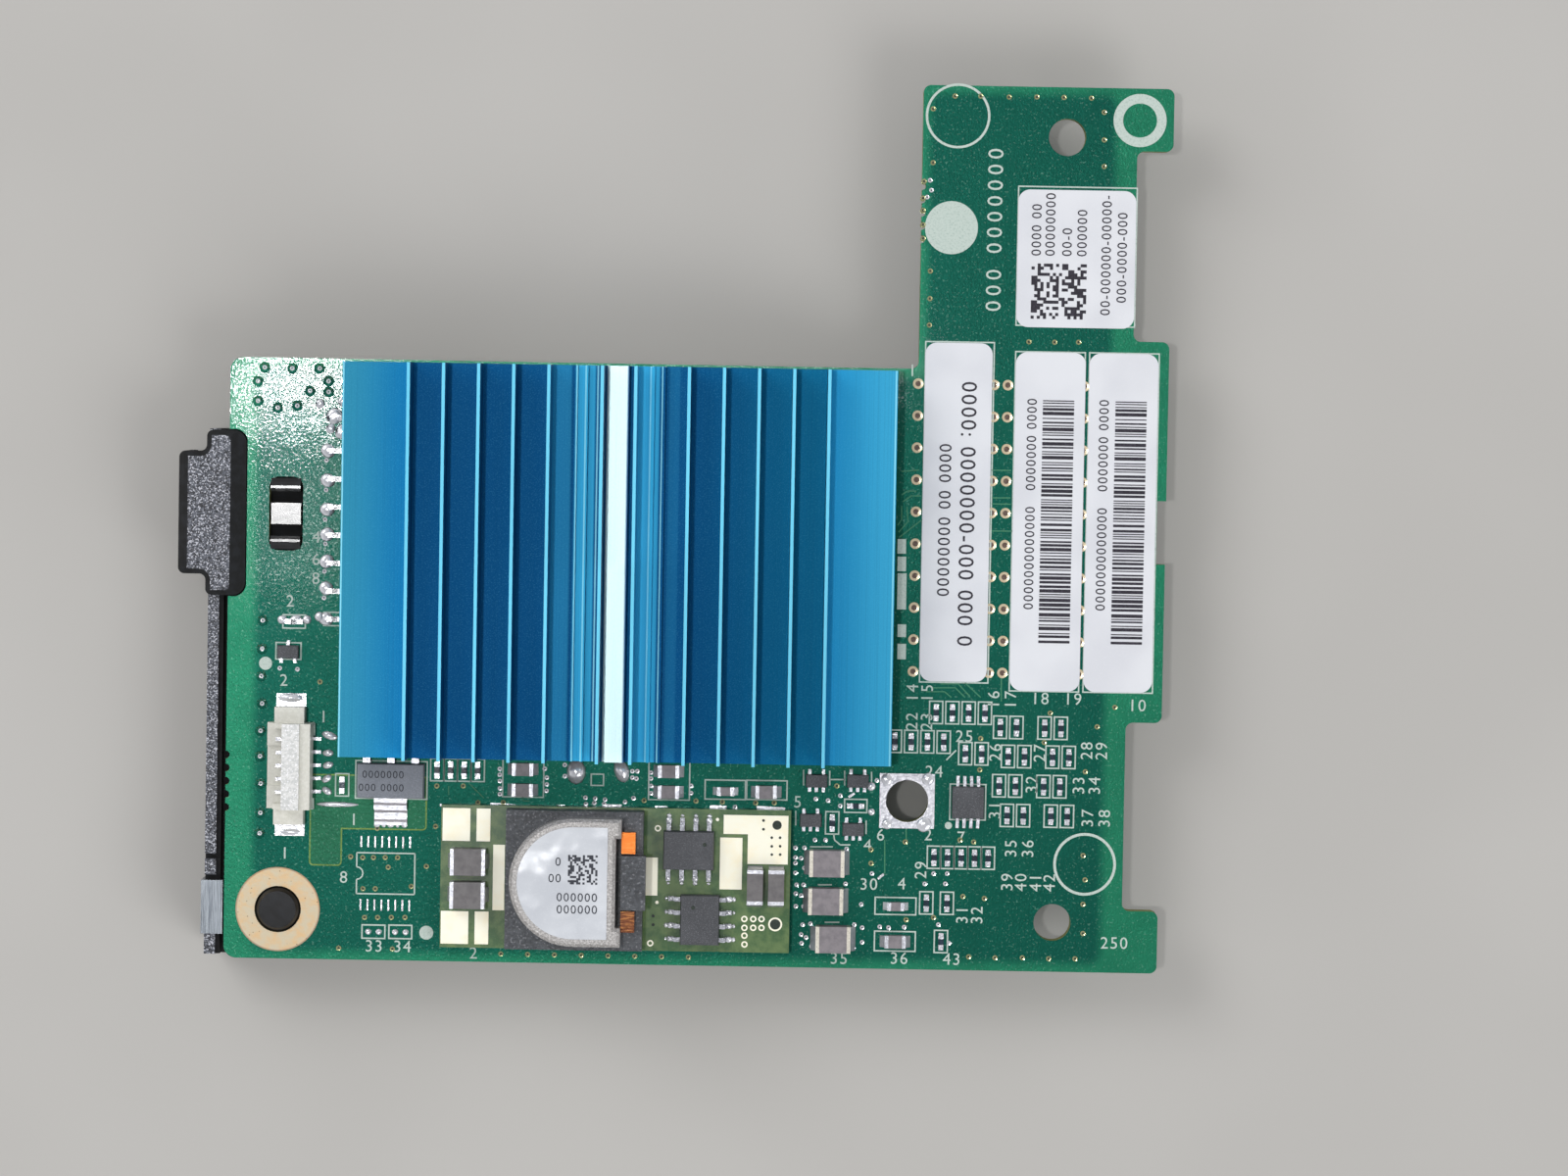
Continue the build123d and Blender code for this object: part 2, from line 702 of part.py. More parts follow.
# Gold contact areas on the module, each given by its centre and its size
module_pads_plan = [
    (-15.05, 4.9, 2.6, 3.1),
    (-12.5, 4.9, 1.3, 3.1),
    (-15.1, -4.85, 2.6, 3.1),
    (-12.55, -4.85, 1.3, 3.1),
    (-11.0, -0.05, 1.1, 6.2),
    (3.35, 0.3, 1.3, 3.6),
    (10.9, 1.65, 2.1, 4.9),
]
corner_pad_length = 6.1
corner_pad_strip = 1.8
corner_pad_column = 3.8
corner_pad_drop = 4.6
corner_pad_inset = 0.25
with BuildPart() as module_pads:
    with BuildSketch(Plane.XY.offset(module_top)):
        for pad_x, pad_y, pad_length, pad_width in module_pads_plan:
            with Locations((module_x + pad_x, module_centre_y + pad_y)):
                Rectangle(pad_length, pad_width)
        corner_x = module_x + module_length / 2 - corner_pad_inset
        corner_y = module_centre_y + module_width / 2 - 2 * corner_pad_inset
        with Locations((corner_x, corner_y)):
            Rectangle(corner_pad_length, corner_pad_strip, align=(Align.MAX, Align.MAX))
            Rectangle(corner_pad_column, corner_pad_drop, align=(Align.MAX, Align.MAX))
    extrude(amount=copper_thickness)
module_pads.part.label = "module_pads"
export_step(module_pads.part, "parts/module_pads.step")

# Inductor: square ferrite base with a centre leg, D-shaped cover, label and copper winding
with BuildPart() as inductor_base:
    slab(module_top, inductor_base_height, inductor_length, inductor_width, [(inductor_x, module_y)])
    cover_right = cover_left + cover_length
    with BuildSketch(Plane.XY.offset(inductor_top)):
        with Locations((cover_right, module_centre_y)):
            Rectangle(core_length, core_width, align=(Align.MIN, Align.CENTER))
    extrude(amount=core_height)
inductor_base.part.label = "inductor_base"
export_step(inductor_base.part, "parts/inductor_base.step")

with BuildPart() as inductor_cover:
    with BuildSketch(Plane.XY.offset(inductor_top)) as cover_outline:
        cover_arc_x = cover_left + cover_radius
        with Locations((cover_arc_x, module_centre_y)):
            Circle(cover_radius)
            Rectangle(cover_length, 2 * cover_radius, align=(Align.MIN, Align.CENTER))
        with Locations((cover_right, module_centre_y)):
            Rectangle(cover_length, 3 * cover_radius, align=(Align.MIN, Align.CENTER), mode=Mode.SUBTRACT)
            Rectangle(2 * cover_ear_notch, 2 * cover_radius - 4 * cover_ear, mode=Mode.SUBTRACT)
    extrude(amount=cover_height)
    chamfer(inductor_cover.faces().sort_by(Axis.Z)[-1].edges(), cover_bevel)
inductor_cover.part.label = "inductor_cover"
export_step(inductor_cover.part, "parts/inductor_cover.step")

with BuildPart() as inductor_label:
    with BuildSketch(Plane.XY.offset(inductor_top + cover_height)):
        with Locations((cover_arc_x, module_centre_y)):
            Circle(cover_radius - label_inset)
            label_run = cover_right - cover_ear_notch - label_inset - cover_arc_x
            Rectangle(label_run, 2 * (cover_radius - label_inset), align=(Align.MIN, Align.CENTER))
        with Locations((cover_arc_x + label_run, module_centre_y)):
            Rectangle(cover_length, 3 * cover_radius, align=(Align.MIN, Align.CENTER), mode=Mode.SUBTRACT)
    extrude(amount=label_thickness)
inductor_label.part.label = "inductor_label"
export_step(inductor_label.part, "parts/inductor_label.step")

with BuildPart() as inductor_winding:
    winding_x = cover_right + winding_length / 2
    slab(inductor_top, winding_height, winding_length, winding_width,
         [(winding_x, module_y + winding_offset), (winding_x, module_y - winding_offset)])
inductor_winding.part.label = "inductor_winding"
export_step(inductor_winding.part, "parts/inductor_winding.step")

# Two eight-lead packages on the module
with BuildPart() as driver_body:
    moulded_body(module_top, driver_height, driver_length, driver_width, [(driver_x, driver_y)])
driver_body.part.label = "driver_body"
export_step(driver_body.part, "parts/driver_body.step")

with BuildPart() as driver_leads:
    lead_row = row_offsets(lead_pitch, leads_per_side)
    for side in (-1, 1):
        row = lead_planes(driver_x, driver_y, module_top, driver_width / 2, lead_row, side, True)
        gull_wing(row, lead_width, lead_reach, driver_height, lead_thickness)
driver_leads.part.label = "driver_leads"
export_step(driver_leads.part, "parts/driver_leads.step")

with BuildPart() as switch_body:
    moulded_body(module_top, driver_height, switch_length, switch_width, [(switch_x, switch_y)])
switch_body.part.label = "switch_body"
export_step(switch_body.part, "parts/switch_body.step")

with BuildPart() as switch_leads:
    for side in (-1, 1):
        row = lead_planes(switch_x, switch_y, module_top, switch_length / 2, lead_row, side, False)
        gull_wing(row, lead_width, lead_reach, driver_height, lead_thickness)
switch_leads.part.label = "switch_leads"
export_step(switch_leads.part, "parts/switch_leads.step")

# Configuration memory with eight fine leads
with BuildPart() as memory_body:
    moulded_body(board_top, memory_height, memory_side, memory_side, [(memory_x, memory_y)])
memory_body.part.label = "memory_body"
export_step(memory_body.part, "parts/memory_body.step")

with BuildPart() as memory_leads:
    fine_row = row_offsets(memory_pitch, leads_per_side)
    for side in (-1, 1):
        row = lead_planes(memory_x, memory_y, board_top, memory_side / 2, fine_row, side, True)
        gull_wing(row, memory_lead_width, memory_lead_reach, memory_height, gate_lead_thickness)
memory_leads.part.label = "memory_leads"
export_step(memory_leads.part, "parts/memory_leads.step")

# Five-lead logic gates and the small transistor share one outline
gate_places = [(14.05, 17.8), (17.95, 17.85), (13.55, 14.05), (17.6, 13.25)]
transistor_place = (board_left + transistor_inset, 29.15)
with BuildPart() as gate_bodies:
    moulded_body(board_top, gate_height, gate_length, gate_width, gate_places)
gate_bodies.part.label = "gate_bodies"
export_step(gate_bodies.part, "parts/gate_bodies.step")

with BuildPart() as gate_leads:
    three_leads = row_offsets(memory_pitch, 3)
    two_leads = row_offsets(2 * memory_pitch, 2)
    for place in gate_places:
        near_row = lead_planes(*place, board_top, gate_width / 2, three_leads, -1, True)
        gull_wing(near_row, memory_lead_width, gate_lead_reach, gate_height, gate_lead_thickness)
        far_row = lead_planes(*place, board_top, gate_width / 2, two_leads, 1, True)
        gull_wing(far_row, memory_lead_width, gate_lead_reach, gate_height, gate_lead_thickness)
gate_leads.part.label = "gate_leads"
export_step(gate_leads.part, "parts/gate_leads.step")

with BuildPart() as transistor_body:
    moulded_body(board_top, gate_height, gate_length, gate_width, [transistor_place])
transistor_body.part.label = "transistor_body"
export_step(transistor_body.part, "parts/transistor_body.step")

with BuildPart() as transistor_leads:
    near_row = lead_planes(*transistor_place, board_top, gate_width / 2, two_leads, -1, True)
    gull_wing(near_row, memory_lead_width, gate_lead_reach, gate_height, gate_lead_thickness)
    far_row = lead_planes(*transistor_place, board_top, gate_width / 2, [0], 1, True)
    gull_wing(far_row, memory_lead_width, gate_lead_reach, gate_height, gate_lead_thickness)
transistor_leads.part.label = "transistor_leads"
export_step(transistor_leads.part, "parts/transistor_leads.step")


def row_places(centre_x, centre_y, pitch, count):
    """Centres of a row of chip parts along X."""
    return [(centre_x + offset, centre_y) for offset in row_offsets(pitch, count)]


# Chip resistors that stand across the card, in rows and pairs right of the sink
upright_chips = row_places(27.55, 24.45, cell_pitch, 4)
upright_chips += row_places(23.7, 21.65, cell_pitch, 4)
for pair_x, pair_y in [(32.1, 23.15), (36.3, 23.15), (28.85, 20.6), (32.9, 20.4), (37.1, 20.4),
                       (32.1, 17.6), (36.3, 17.6), (32.9, 14.8), (37.05, 14.8)]:
    upright_chips += row_places(pair_x, pair_y, cell_pitch, 2)
upright_chips += row_places(27.85, 10.7, close_pitch, 5)
upright_chips += row_places(-19.95, 18.2, close_pitch, 4)
upright_chips += [(26.1, 2.7), (15.6, 13.8), (24.65, 6.35), (26.6, 6.35), (-30.85, 16.6)]

# Chip resistors that lie along the card
edge_chip_inset = 10.15
edge_chip_x = board_left + edge_chip_inset
edge_chip_y = 40.25
edge_chip_pitch = 2.65
edge_chip_count = 7
edge_row = row_offsets(edge_chip_pitch, edge_chip_count)
lying_chips = [(edge_chip_x, edge_chip_y + offset) for offset in edge_row]
lying_chips += [(17.8, 15.45), (board_left + transistor_inset + chip_width, 32.0)]

with BuildPart() as resistor_bodies:
    inner_length = chip_length - 2 * chip_terminal
    slab(board_top, chip_height, chip_width, inner_length, upright_chips)
    slab(board_top, chip_height, inner_length, chip_width, lying_chips)
resistor_bodies.part.label = "resistor_bodies"
export_step(resistor_bodies.part, "parts/resistor_bodies.step")

with BuildPart() as resistor_terminals:
    capped_height = chip_height + terminal_lap
    end_caps(board_top, capped_height, chip_length, chip_width, chip_terminal, upright_chips, False)
    end_caps(board_top, capped_height, chip_length, chip_width, chip_terminal, lying_chips, True)
resistor_terminals.part.label = "resistor_terminals"
export_step(resistor_terminals.part, "parts/resistor_terminals.step")

# Small ceramic capacitors along the sink's near edge and by the near edge of the card
cap_places = [(-13.75, 18.4), (-13.75, 16.45), (0.05, 18.45), (0.05, 16.5), (9.3, 16.65), (21.75, 2.65)]
with BuildPart() as capacitor_bodies:
    slab(board_top, cap_height, cap_length - 2 * cap_terminal, cap_width, cap_places)
capacitor_bodies.part.label = "capacitor_bodies"
export_step(capacitor_bodies.part, "parts/capacitor_bodies.step")

with BuildPart() as capacitor_terminals:
    end_caps(board_top, cap_height + terminal_lap, cap_length, cap_width, cap_terminal, cap_places, True)
capacitor_terminals.part.label = "capacitor_terminals"
export_step(capacitor_terminals.part, "parts/capacitor_terminals.step")

# Ferrite beads
bead_places = [(5.45, 16.65), (21.75, 6.0)]
with BuildPart() as bead_bodies:
    slab(board_top, bead_height, bead_length - 2 * bead_terminal, bead_width, bead_places)
bead_bodies.part.label = "bead_bodies"
export_step(bead_bodies.part, "parts/bead_bodies.step")

with BuildPart() as bead_terminals:
    end_caps(board_top, bead_height + terminal_lap, bead_length, bead_width, bead_terminal,
             bead_places, True)
bead_terminals.part.label = "bead_terminals"
export_step(bead_terminals.part, "parts/bead_terminals.step")

# Large ceramic capacitors: three on the board, two across and two upright on the module
bulk_places = [(15.15, 10.05), (15.1, 6.45), (15.85, 2.85)]
module_bulk_places = [(-18.65, 9.8), (-18.65, 6.65)]
slim_places = [(8.4, 7.85), (10.4, 7.85)]
with BuildPart() as bulk_bodies:
    slab(board_top, bulk_height, bulk_length - 2 * bulk_terminal, bulk_width, bulk_places)
bulk_bodies.part.label = "bulk_bodies"
export_step(bulk_bodies.part, "parts/bulk_bodies.step")

with BuildPart() as bulk_terminals:
    end_caps(board_top, bulk_height + terminal_lap, bulk_length, bulk_width, bulk_terminal,
             bulk_places, True)
bulk_terminals.part.label = "bulk_terminals"
export_step(bulk_terminals.part, "parts/bulk_terminals.step")

with BuildPart() as module_capacitor_bodies:
    slab(module_top, bulk_height, bulk_length - 2 * bulk_terminal, bulk_width, module_bulk_places)
    slab(module_top, slim_height, slim_width, slim_length - 2 * bulk_terminal, slim_places)
module_capacitor_bodies.part.label = "module_capacitor_bodies"
export_step(module_capacitor_bodies.part, "parts/module_capacitor_bodies.step")

with BuildPart() as module_capacitor_terminals:
    end_caps(module_top, bulk_height + terminal_lap, bulk_length, bulk_width, bulk_terminal,
             module_bulk_places, True)
    end_caps(module_top, slim_height + terminal_lap, slim_length, slim_width, bulk_terminal,
             slim_places, False)
module_capacitor_terminals.part.label = "module_capacitor_terminals"
export_step(module_capacitor_terminals.part, "parts/module_capacitor_terminals.step")


def sticker(centre_x, centre_y, width, length):
    """A rounded paper label on the board."""
    with BuildSketch(Plane.XY.offset(board_top)) as outline:
        with Locations((centre_x, centre_y)):
            RectangleRounded(width, length, label_corner)
    extrude(outline.sketch, amount=label_thickness)


# Four paper labels, placed from the right edge inwards
right_label_x = board_right - label_edge_gap - right_label_width / 2
middle_label_x = right_label_x - (right_label_width + middle_label_width) / 2 - label_row_gap
left_label_x = middle_label_x - (middle_label_width + left_label_width) / 2 - label_column_gap
left_label_y = near_edge + left_label_inset + label_length / 2
lower_labels_y = near_edge + lower_label_inset + label_length / 2
code_label_x = middle_label_x + code_label_shift
code_label_y = lower_labels_y + (label_length + code_label_length) / 2 + code_label_gap
with BuildPart() as label_left:
    sticker(left_label_x, left_label_y, left_label_width, label_length)
label_left.part.label = "label_left"
export_step(label_left.part, "parts/label_left.step")

with BuildPart() as label_middle:
    sticker(middle_label_x, lower_labels_y, middle_label_width, label_length)
label_middle.part.label = "label_middle"
export_step(label_middle.part, "parts/label_middle.step")

with BuildPart() as label_right:
    sticker(right_label_x, lower_labels_y, right_label_width, label_length)
label_right.part.label = "label_right"
export_step(label_right.part, "parts/label_right.step")

with BuildPart() as label_code:
    sticker(code_label_x, code_label_y, code_label_width, code_label_length)
label_code.part.label = "label_code"
export_step(label_code.part, "parts/label_code.step")
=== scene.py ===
"""Looks of a fibre channel expansion card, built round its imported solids."""

import logging
import math
import random
from collections.abc import Callable, Iterable, Sequence
from dataclasses import dataclass
from enum import Enum

import bmesh
import bpy
from mathutils import Matrix, Vector


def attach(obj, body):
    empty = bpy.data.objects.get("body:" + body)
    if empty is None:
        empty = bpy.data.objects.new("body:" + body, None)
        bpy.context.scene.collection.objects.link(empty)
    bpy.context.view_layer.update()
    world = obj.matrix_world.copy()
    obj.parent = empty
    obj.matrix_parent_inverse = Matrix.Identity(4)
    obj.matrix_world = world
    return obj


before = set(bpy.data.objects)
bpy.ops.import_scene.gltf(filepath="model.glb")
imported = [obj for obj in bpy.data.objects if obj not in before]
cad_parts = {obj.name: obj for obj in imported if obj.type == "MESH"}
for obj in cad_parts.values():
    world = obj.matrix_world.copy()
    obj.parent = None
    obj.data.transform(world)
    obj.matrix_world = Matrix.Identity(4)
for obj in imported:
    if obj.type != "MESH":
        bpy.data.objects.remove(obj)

LOG = logging.getLogger("card")
MM = 0.001
WELD_STEPS = 1e6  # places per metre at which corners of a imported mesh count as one
FIGURE_SHARE = 0.72  # height of a figure as a share of its font size
FILLET_LEAN = 0.75  # lean of the slope of a fillet
FILLET_FALLS = ((0.0, 0.75), (0.5, 0.35))  # where along its slope a fillet is cut, and how steeply
RESIN_IOR = 1.5  # refraction of lacquer, epoxy and nylon
CERAMIC_IOR = 1.55  # refraction of fired ceramic
PAPER_IOR = 1.45  # refraction of paper and ink
LEVEL = 0.9  # rise of a normal above which a face counts as level
CLOSE = 1e-7  # distance in metres below which two levels are one
QUARTER = 90  # degrees in a quarter turn

Socket = bpy.types.NodeSocket
Thing = bpy.types.Object
Colour = tuple[float, float, float, float]
Box = tuple[float, float, float, float]
Point = tuple[float, float]
Place = tuple[float, float, float]


def paint(red: int, green: int, blue: int) -> Colour:
    """Linear colour of a display colour given from 0 to 255.

    Args:
        red: Red, 0 to 255.
        green: Green, 0 to 255.
        blue: Blue, 0 to 255.

    Returns:
        The colour as the shader takes it, with full opacity.
    """

    def channel(value: int) -> float:
        """One channel without its display curve."""
        share = value / 255
        return share / 12.92 if share <= 0.04045 else ((share + 0.055) / 1.055) ** 2.4

    return channel(red), channel(green), channel(blue), 1.0


def grey(value: float) -> Colour:
    """A number as a colour, for a socket that a colour mix feeds."""
    return value, value, value, 1


class Slot(Enum):
    """The record's material slots, passed along with new pieces."""

    LAMINATE = "laminate"
    TIN = "tin"
    COPPER = "copper"
    GOLD = "gold"
    PACKAGE = "package_plastic"
    PAPER = "paper"


@dataclass(frozen=True)
class Grain:
    """Fractal noise of a finish.

    Attributes:
        scale: Cells per millimetre.
        octaves: Number of octaves.
        weight: Weight of the finer octaves.
        stretch: Factor along each axis, for a drawn-out grain.
    """

    scale: float
    octaves: float = 2.0
    weight: float = 0.5
    stretch: Place | None = None


@dataclass(frozen=True)
class Veil:
    """A second colour that comes in where a pattern rises.

    Attributes:
        low: Value of the pattern at which it starts.
        high: Value at which it is full.
        tone: Its colour.
        share: Share of the colour where it is full.
    """

    low: float
    high: float
    tone: Colour
    share: float = 1.0


@dataclass(frozen=True)
class Relief:
    """Height of a bump in millimetres, and its strength."""

    depth: float
    strength: float


class Recipe:
    """Node tree of one material, with its pattern space in millimetres."""

    def __init__(self, name: str) -> None:
        """Starts an empty tree with one shader.

        Args:
            name: The material's name.
        """
        self.material = bpy.data.materials.new(name)
        self.material.use_nodes = True
        self.tree = self.material.node_tree
        self.tree.nodes.clear()
        output = self.tree.nodes.new("ShaderNodeOutputMaterial")
        self.shader = self.tree.nodes.new("ShaderNodeBsdfPrincipled")
        self.tree.links.new(self.shader.outputs[0], output.inputs[0])
        coordinates = self.tree.nodes.new("ShaderNodeTexCoord")
        scaled = self.tree.nodes.new("ShaderNodeVectorMath")
        scaled.operation = "SCALE"
        scaled.inputs["Scale"].default_value = 1 / MM
        self.tree.links.new(coordinates.outputs["Object"], scaled.inputs[0])
        self.place = scaled.outputs[0]
        self.x, self.y, self.z = self.parts(self.place)
        self.up = self.parts(coordinates.outputs["Normal"])[2]

    def parts(self, source: Socket) -> Sequence[Socket]:
        """The three components of a vector socket."""
        split = self.tree.nodes.new("ShaderNodeSeparateXYZ")
        self.tree.links.new(source, split.inputs[0])
        return split.outputs

    def feed(self, socket: Socket, value: object) -> None:
        """Links a socket, or sets its value.

        Args:
            socket: The input socket.
            value: An output socket, a number or a colour.
        """
        if isinstance(value, Socket):
            self.tree.links.new(value, socket)
        else:
            socket.default_value = value

    def set(self, **values: object) -> None:
        """Sets the shader's own sockets by name, with _ for a space.

        Args:
            values: Socket names and their values.
        """
        for name, value in values.items():
            self.feed(self.shader.inputs[name.replace("_", " ")], value)

    def noise(self, grain: Grain) -> Socket:
        """Fractal noise from 0 to 1.

        Args:
            grain: What the noise is like.

        Returns:
            The factor socket.
        """
        space = self.place
        if grain.stretch:
            stretched = self.tree.nodes.new("ShaderNodeVectorMath")
            stretched.operation = "MULTIPLY"
            self.tree.links.new(self.place, stretched.inputs[0])
            stretched.inputs[1].default_value = grain.stretch
            space = stretched.outputs[0]
        node = self.tree.nodes.new("ShaderNodeTexNoise")
        self.tree.links.new(space, node.inputs["Vector"])
        node.inputs["Scale"].default_value = grain.scale
        node.inputs["Detail"].default_value = grain.octaves
        node.inputs["Roughness"].default_value = grain.weight
        return node.outputs["Fac"]

    def cells(self, scale: float) -> Socket:
        """Distance to the nearest of scattered points."""
        node = self.tree.nodes.new("ShaderNodeTexVoronoi")
        self.tree.links.new(self.place, node.inputs["Vector"])
        node.inputs["Scale"].default_value = scale
        return node.outputs["Distance"]

    def maths(self, operation: str, *values: object) -> Socket:
        """One sum of up to three values.

        Args:
            operation: The node's operation.
            values: Sockets or numbers.

        Returns:
            The result socket.
        """
        node = self.tree.nodes.new("ShaderNodeMath")
        node.operation = operation
        for socket, value in zip(node.inputs, values):
            self.feed(socket, value)
        return node.outputs[0]

    def times(self, first: object, second: object) -> Socket:
        """Product of two values."""
        return self.maths("MULTIPLY", first, second)

    def most(self, first: object, second: object) -> Socket:
        """Larger of two values."""
        return self.maths("MAXIMUM", first, second)

    def away(self, value: Socket, middle: float) -> Socket:
        """Distance of a value from a middle."""
        return self.maths("ABSOLUTE", self.maths("SUBTRACT", value, middle))

    def length(self, first: Socket, second: Socket) -> Socket:
        """Length of a run with two components."""
        return self.maths("SQRT", self.maths("ADD", self.times(first, first), self.times(second, second)))

    def around(self, value: Socket, middle: float, spread: float) -> Socket:
        """A pattern from 0 to 1 turned into a number that varies round a middle."""
        return self.maths("MULTIPLY_ADD", value, spread, middle - spread / 2)

    def rise(self, value: Socket, low: float, high: float) -> Socket:
        """Smooth step from 0 at low to 1 at high."""
        node = self.tree.nodes.new("ShaderNodeMapRange")
        node.interpolation_type = "SMOOTHSTEP"
        self.tree.links.new(value, node.inputs["Value"])
        node.inputs["From Min"].default_value = min(low, high)
        node.inputs["From Max"].default_value = max(low, high)
        node.inputs["To Min"].default_value = 0.0 if low < high else 1.0
        node.inputs["To Max"].default_value = 1.0 if low < high else 0.0
        return node.outputs["Result"]

    def mix(self, share: Socket, first: object, second: object) -> Socket:
        """Colour between two colours.

        Args:
            share: Socket, 0 for the first colour.
            first: Socket or colour.
            second: Socket or colour.

        Returns:
            The colour socket.
        """
        node = self.tree.nodes.new("ShaderNodeMix")
        node.data_type = "RGBA"
        for index, value in ((0, share), (6, first), (7, second)):
            self.feed(node.inputs[index], value)
        return node.outputs[2]

    def veil(self, tone: object, pattern: Socket, veil: Veil) -> Socket:
        """Lays a veil over a tone.

        Args:
            tone: Socket or colour below.
            pattern: What the veil follows.
            veil: The second colour and where it comes in.

        Returns:
            The colour socket.
        """
        share = self.rise(pattern, veil.low, veil.high)
        if veil.share < 1:
            share = self.times(share, veil.share)
        return self.mix(share, tone, veil.tone)

    def window(self, box: Box, soft: float, corner: float) -> Socket:
        """Mask that is 1 inside a rounded rectangle of the pattern space.

        Args:
            box: Left, right, near and far edges in millimetres.
            soft: Width of the blurred edge.
            corner: Corner radius.

        Returns:
            The mask socket.
        """
        left, right, near, far = box
        over = []
        for value, low, high in ((self.x, left, right), (self.y, near, far)):
            middle = self.away(value, (low + high) / 2)
            over.append(self.most(self.maths("SUBTRACT", middle, (high - low) / 2 - corner), 0.0))
        return self.rise(self.length(*over), corner + soft, max(corner - soft, 0.0))

    def bump(self, height: Socket, relief: Relief) -> None:
        """Adds relief to the shader's normal.

        Args:
            height: Height socket, 0 to 1.
            relief: Its full height and strength.
        """
        node = self.tree.nodes.new("ShaderNodeBump")
        node.inputs["Distance"].default_value = relief.depth * MM
        node.inputs["Strength"].default_value = relief.strength
        self.tree.links.new(height, node.inputs["Height"])
        normal = self.shader.inputs["Normal"]
        if normal.is_linked:
            self.tree.links.new(normal.links[0].from_socket, node.inputs["Normal"])
        self.tree.links.new(node.outputs[0], normal)


@dataclass(frozen=True)
class Finish:
    """One finish of the card. Each kind lays its own recipe."""

    name: str

    def lay(self, recipe: Recipe) -> None:
        """Lays the finish.

        Args:
            recipe: The material's recipe.
        """
        raise NotImplementedError

    def make(self) -> bpy.types.Material:
        """Builds the finish.

        Returns:
            The material.
        """
        recipe = Recipe(self.name)
        self.lay(recipe)
        return recipe.material


@dataclass(frozen=True)
class SolderMask(Finish):
    """Green lacquer over the copper plane, with a brighter margin where no copper lies."""

    name: str = "solder_mask"
    over_copper: Colour = paint(16, 84, 70)
    bare: Colour = paint(36, 120, 90)
    planes: tuple[Box, Box] = ((-39.3, 41.2, -41.0, 14.3), (23.6, 41.2, 10.0, 41.1))
    plane_blur: float = 0.7
    plane_corner: float = 1.2
    pour: Colour = paint(40, 98, 72)
    pour_line: Colour = paint(110, 132, 68)
    pours: tuple[Box, Box] = ((-33.9, -22.8, -29.4, -24.2), (-33.9, -30.8, -32.9, -27.0))
    pour_rim: float = 0.12
    pour_blur: float = 0.05
    pour_corners: Point = (0.4, 0.3)
    mottle: Grain = Grain(0.35, 3.0, 0.6)
    mottle_veil: Veil = Veil(0.35, 0.7, paint(12, 60, 52), 0.16)
    weave: Grain = Grain(1.0, 2.0, 0.7, (5.5, 3.2, 3.0))
    weave_veil: Veil = Veil(0.5, 0.9, paint(60, 150, 124), 0.2)
    weave_reliefs: tuple[Relief, Relief] = (Relief(0.0012, 1.0), Relief(0.02, 1.0))
    grit: Grain = Grain(4.5, 1.0, 0.6)
    # Pale specks on the grit: painted glints.
    grit_glint_veil: Veil = Veil(0.62, 0.72, paint(170, 220, 200), 0.12)
    grit_relief: Relief = Relief(0.002, 1.0)
    waves: Grain = Grain(0.45, 2.0, 0.5)
    wave_relief: Relief = Relief(0.012, 0.4)
    edge: Colour = paint(112, 122, 74)
    edge_slope: Point = (0.7, 0.3)
    layers: Grain = Grain(1.0, 2.0, 0.7, (0.6, 0.6, 9.0))
    layer_veil: Veil = Veil(0.35, 0.65, paint(150, 146, 104))
    copper_share: float = 0.5
    roughness: Point = (0.34, 0.75)
    glaze: Point = (0.03, 0.03)
    film_edges: Point = (0.52, 0.62)
    speckle: float = 0.18
    varnish: float = 0.045

    def lay(self, recipe: Recipe) -> None:
        """Lays the lacquer, its copper below and its gloss film above.

        Args:
            recipe: The material's recipe.
        """
        plane = recipe.most(*[recipe.window(box, self.plane_blur, self.plane_corner) for box in self.planes])
        outer, inner = self.pour_corners
        poured = recipe.most(*[recipe.window(box, self.pour_blur, outer) for box in self.pours])
        rim = self.pour_rim
        cores = [(left + rim, right - rim, near + rim, far - rim) for left, right, near, far in self.pours]
        core = recipe.most(*[recipe.window(box, self.pour_blur, inner) for box in cores])
        weave, grit = recipe.noise(self.weave), recipe.noise(self.grit)
        tone = recipe.mix(plane, self.bare, self.over_copper)
        tone = recipe.mix(poured, tone, self.pour_line)
        tone = recipe.mix(core, tone, self.pour)
        tone = recipe.veil(tone, recipe.noise(self.mottle), self.mottle_veil)
        tone = recipe.veil(tone, weave, self.weave_veil)
        # Painted glints: pale specks where the grit rises.
        tone = recipe.veil(tone, grit, self.grit_glint_veil)
        side = recipe.rise(recipe.maths("ABSOLUTE", recipe.up), *self.edge_slope)
        cut = recipe.veil(self.edge, recipe.noise(self.layers), self.layer_veil)
        face = recipe.maths("SUBTRACT", 1.0, side)
        film = recipe.maths("MULTIPLY_ADD", recipe.rise(grit, *self.film_edges), self.speckle, self.varnish)
        recipe.set(Base_Color=recipe.mix(side, tone, cut), IOR=RESIN_IOR, Specular_IOR_Level=0.05,
                   Metallic=recipe.times(face, self.copper_share), Coat_IOR=RESIN_IOR,
                   Roughness=recipe.mix(side, grey(self.roughness[0]), grey(self.roughness[1])),
                   Coat_Roughness=recipe.maths("MULTIPLY_ADD", weave, *self.glaze),
                   Coat_Weight=recipe.times(face, film))
        recipe.bump(recipe.noise(self.waves), self.wave_relief)
        recipe.bump(weave, self.weave_reliefs[0])
        recipe.bump(grit, self.grit_relief)
        recipe.set(Coat_Normal=recipe.shader.inputs["Normal"].links[0].from_socket)
        recipe.bump(weave, self.weave_reliefs[1])


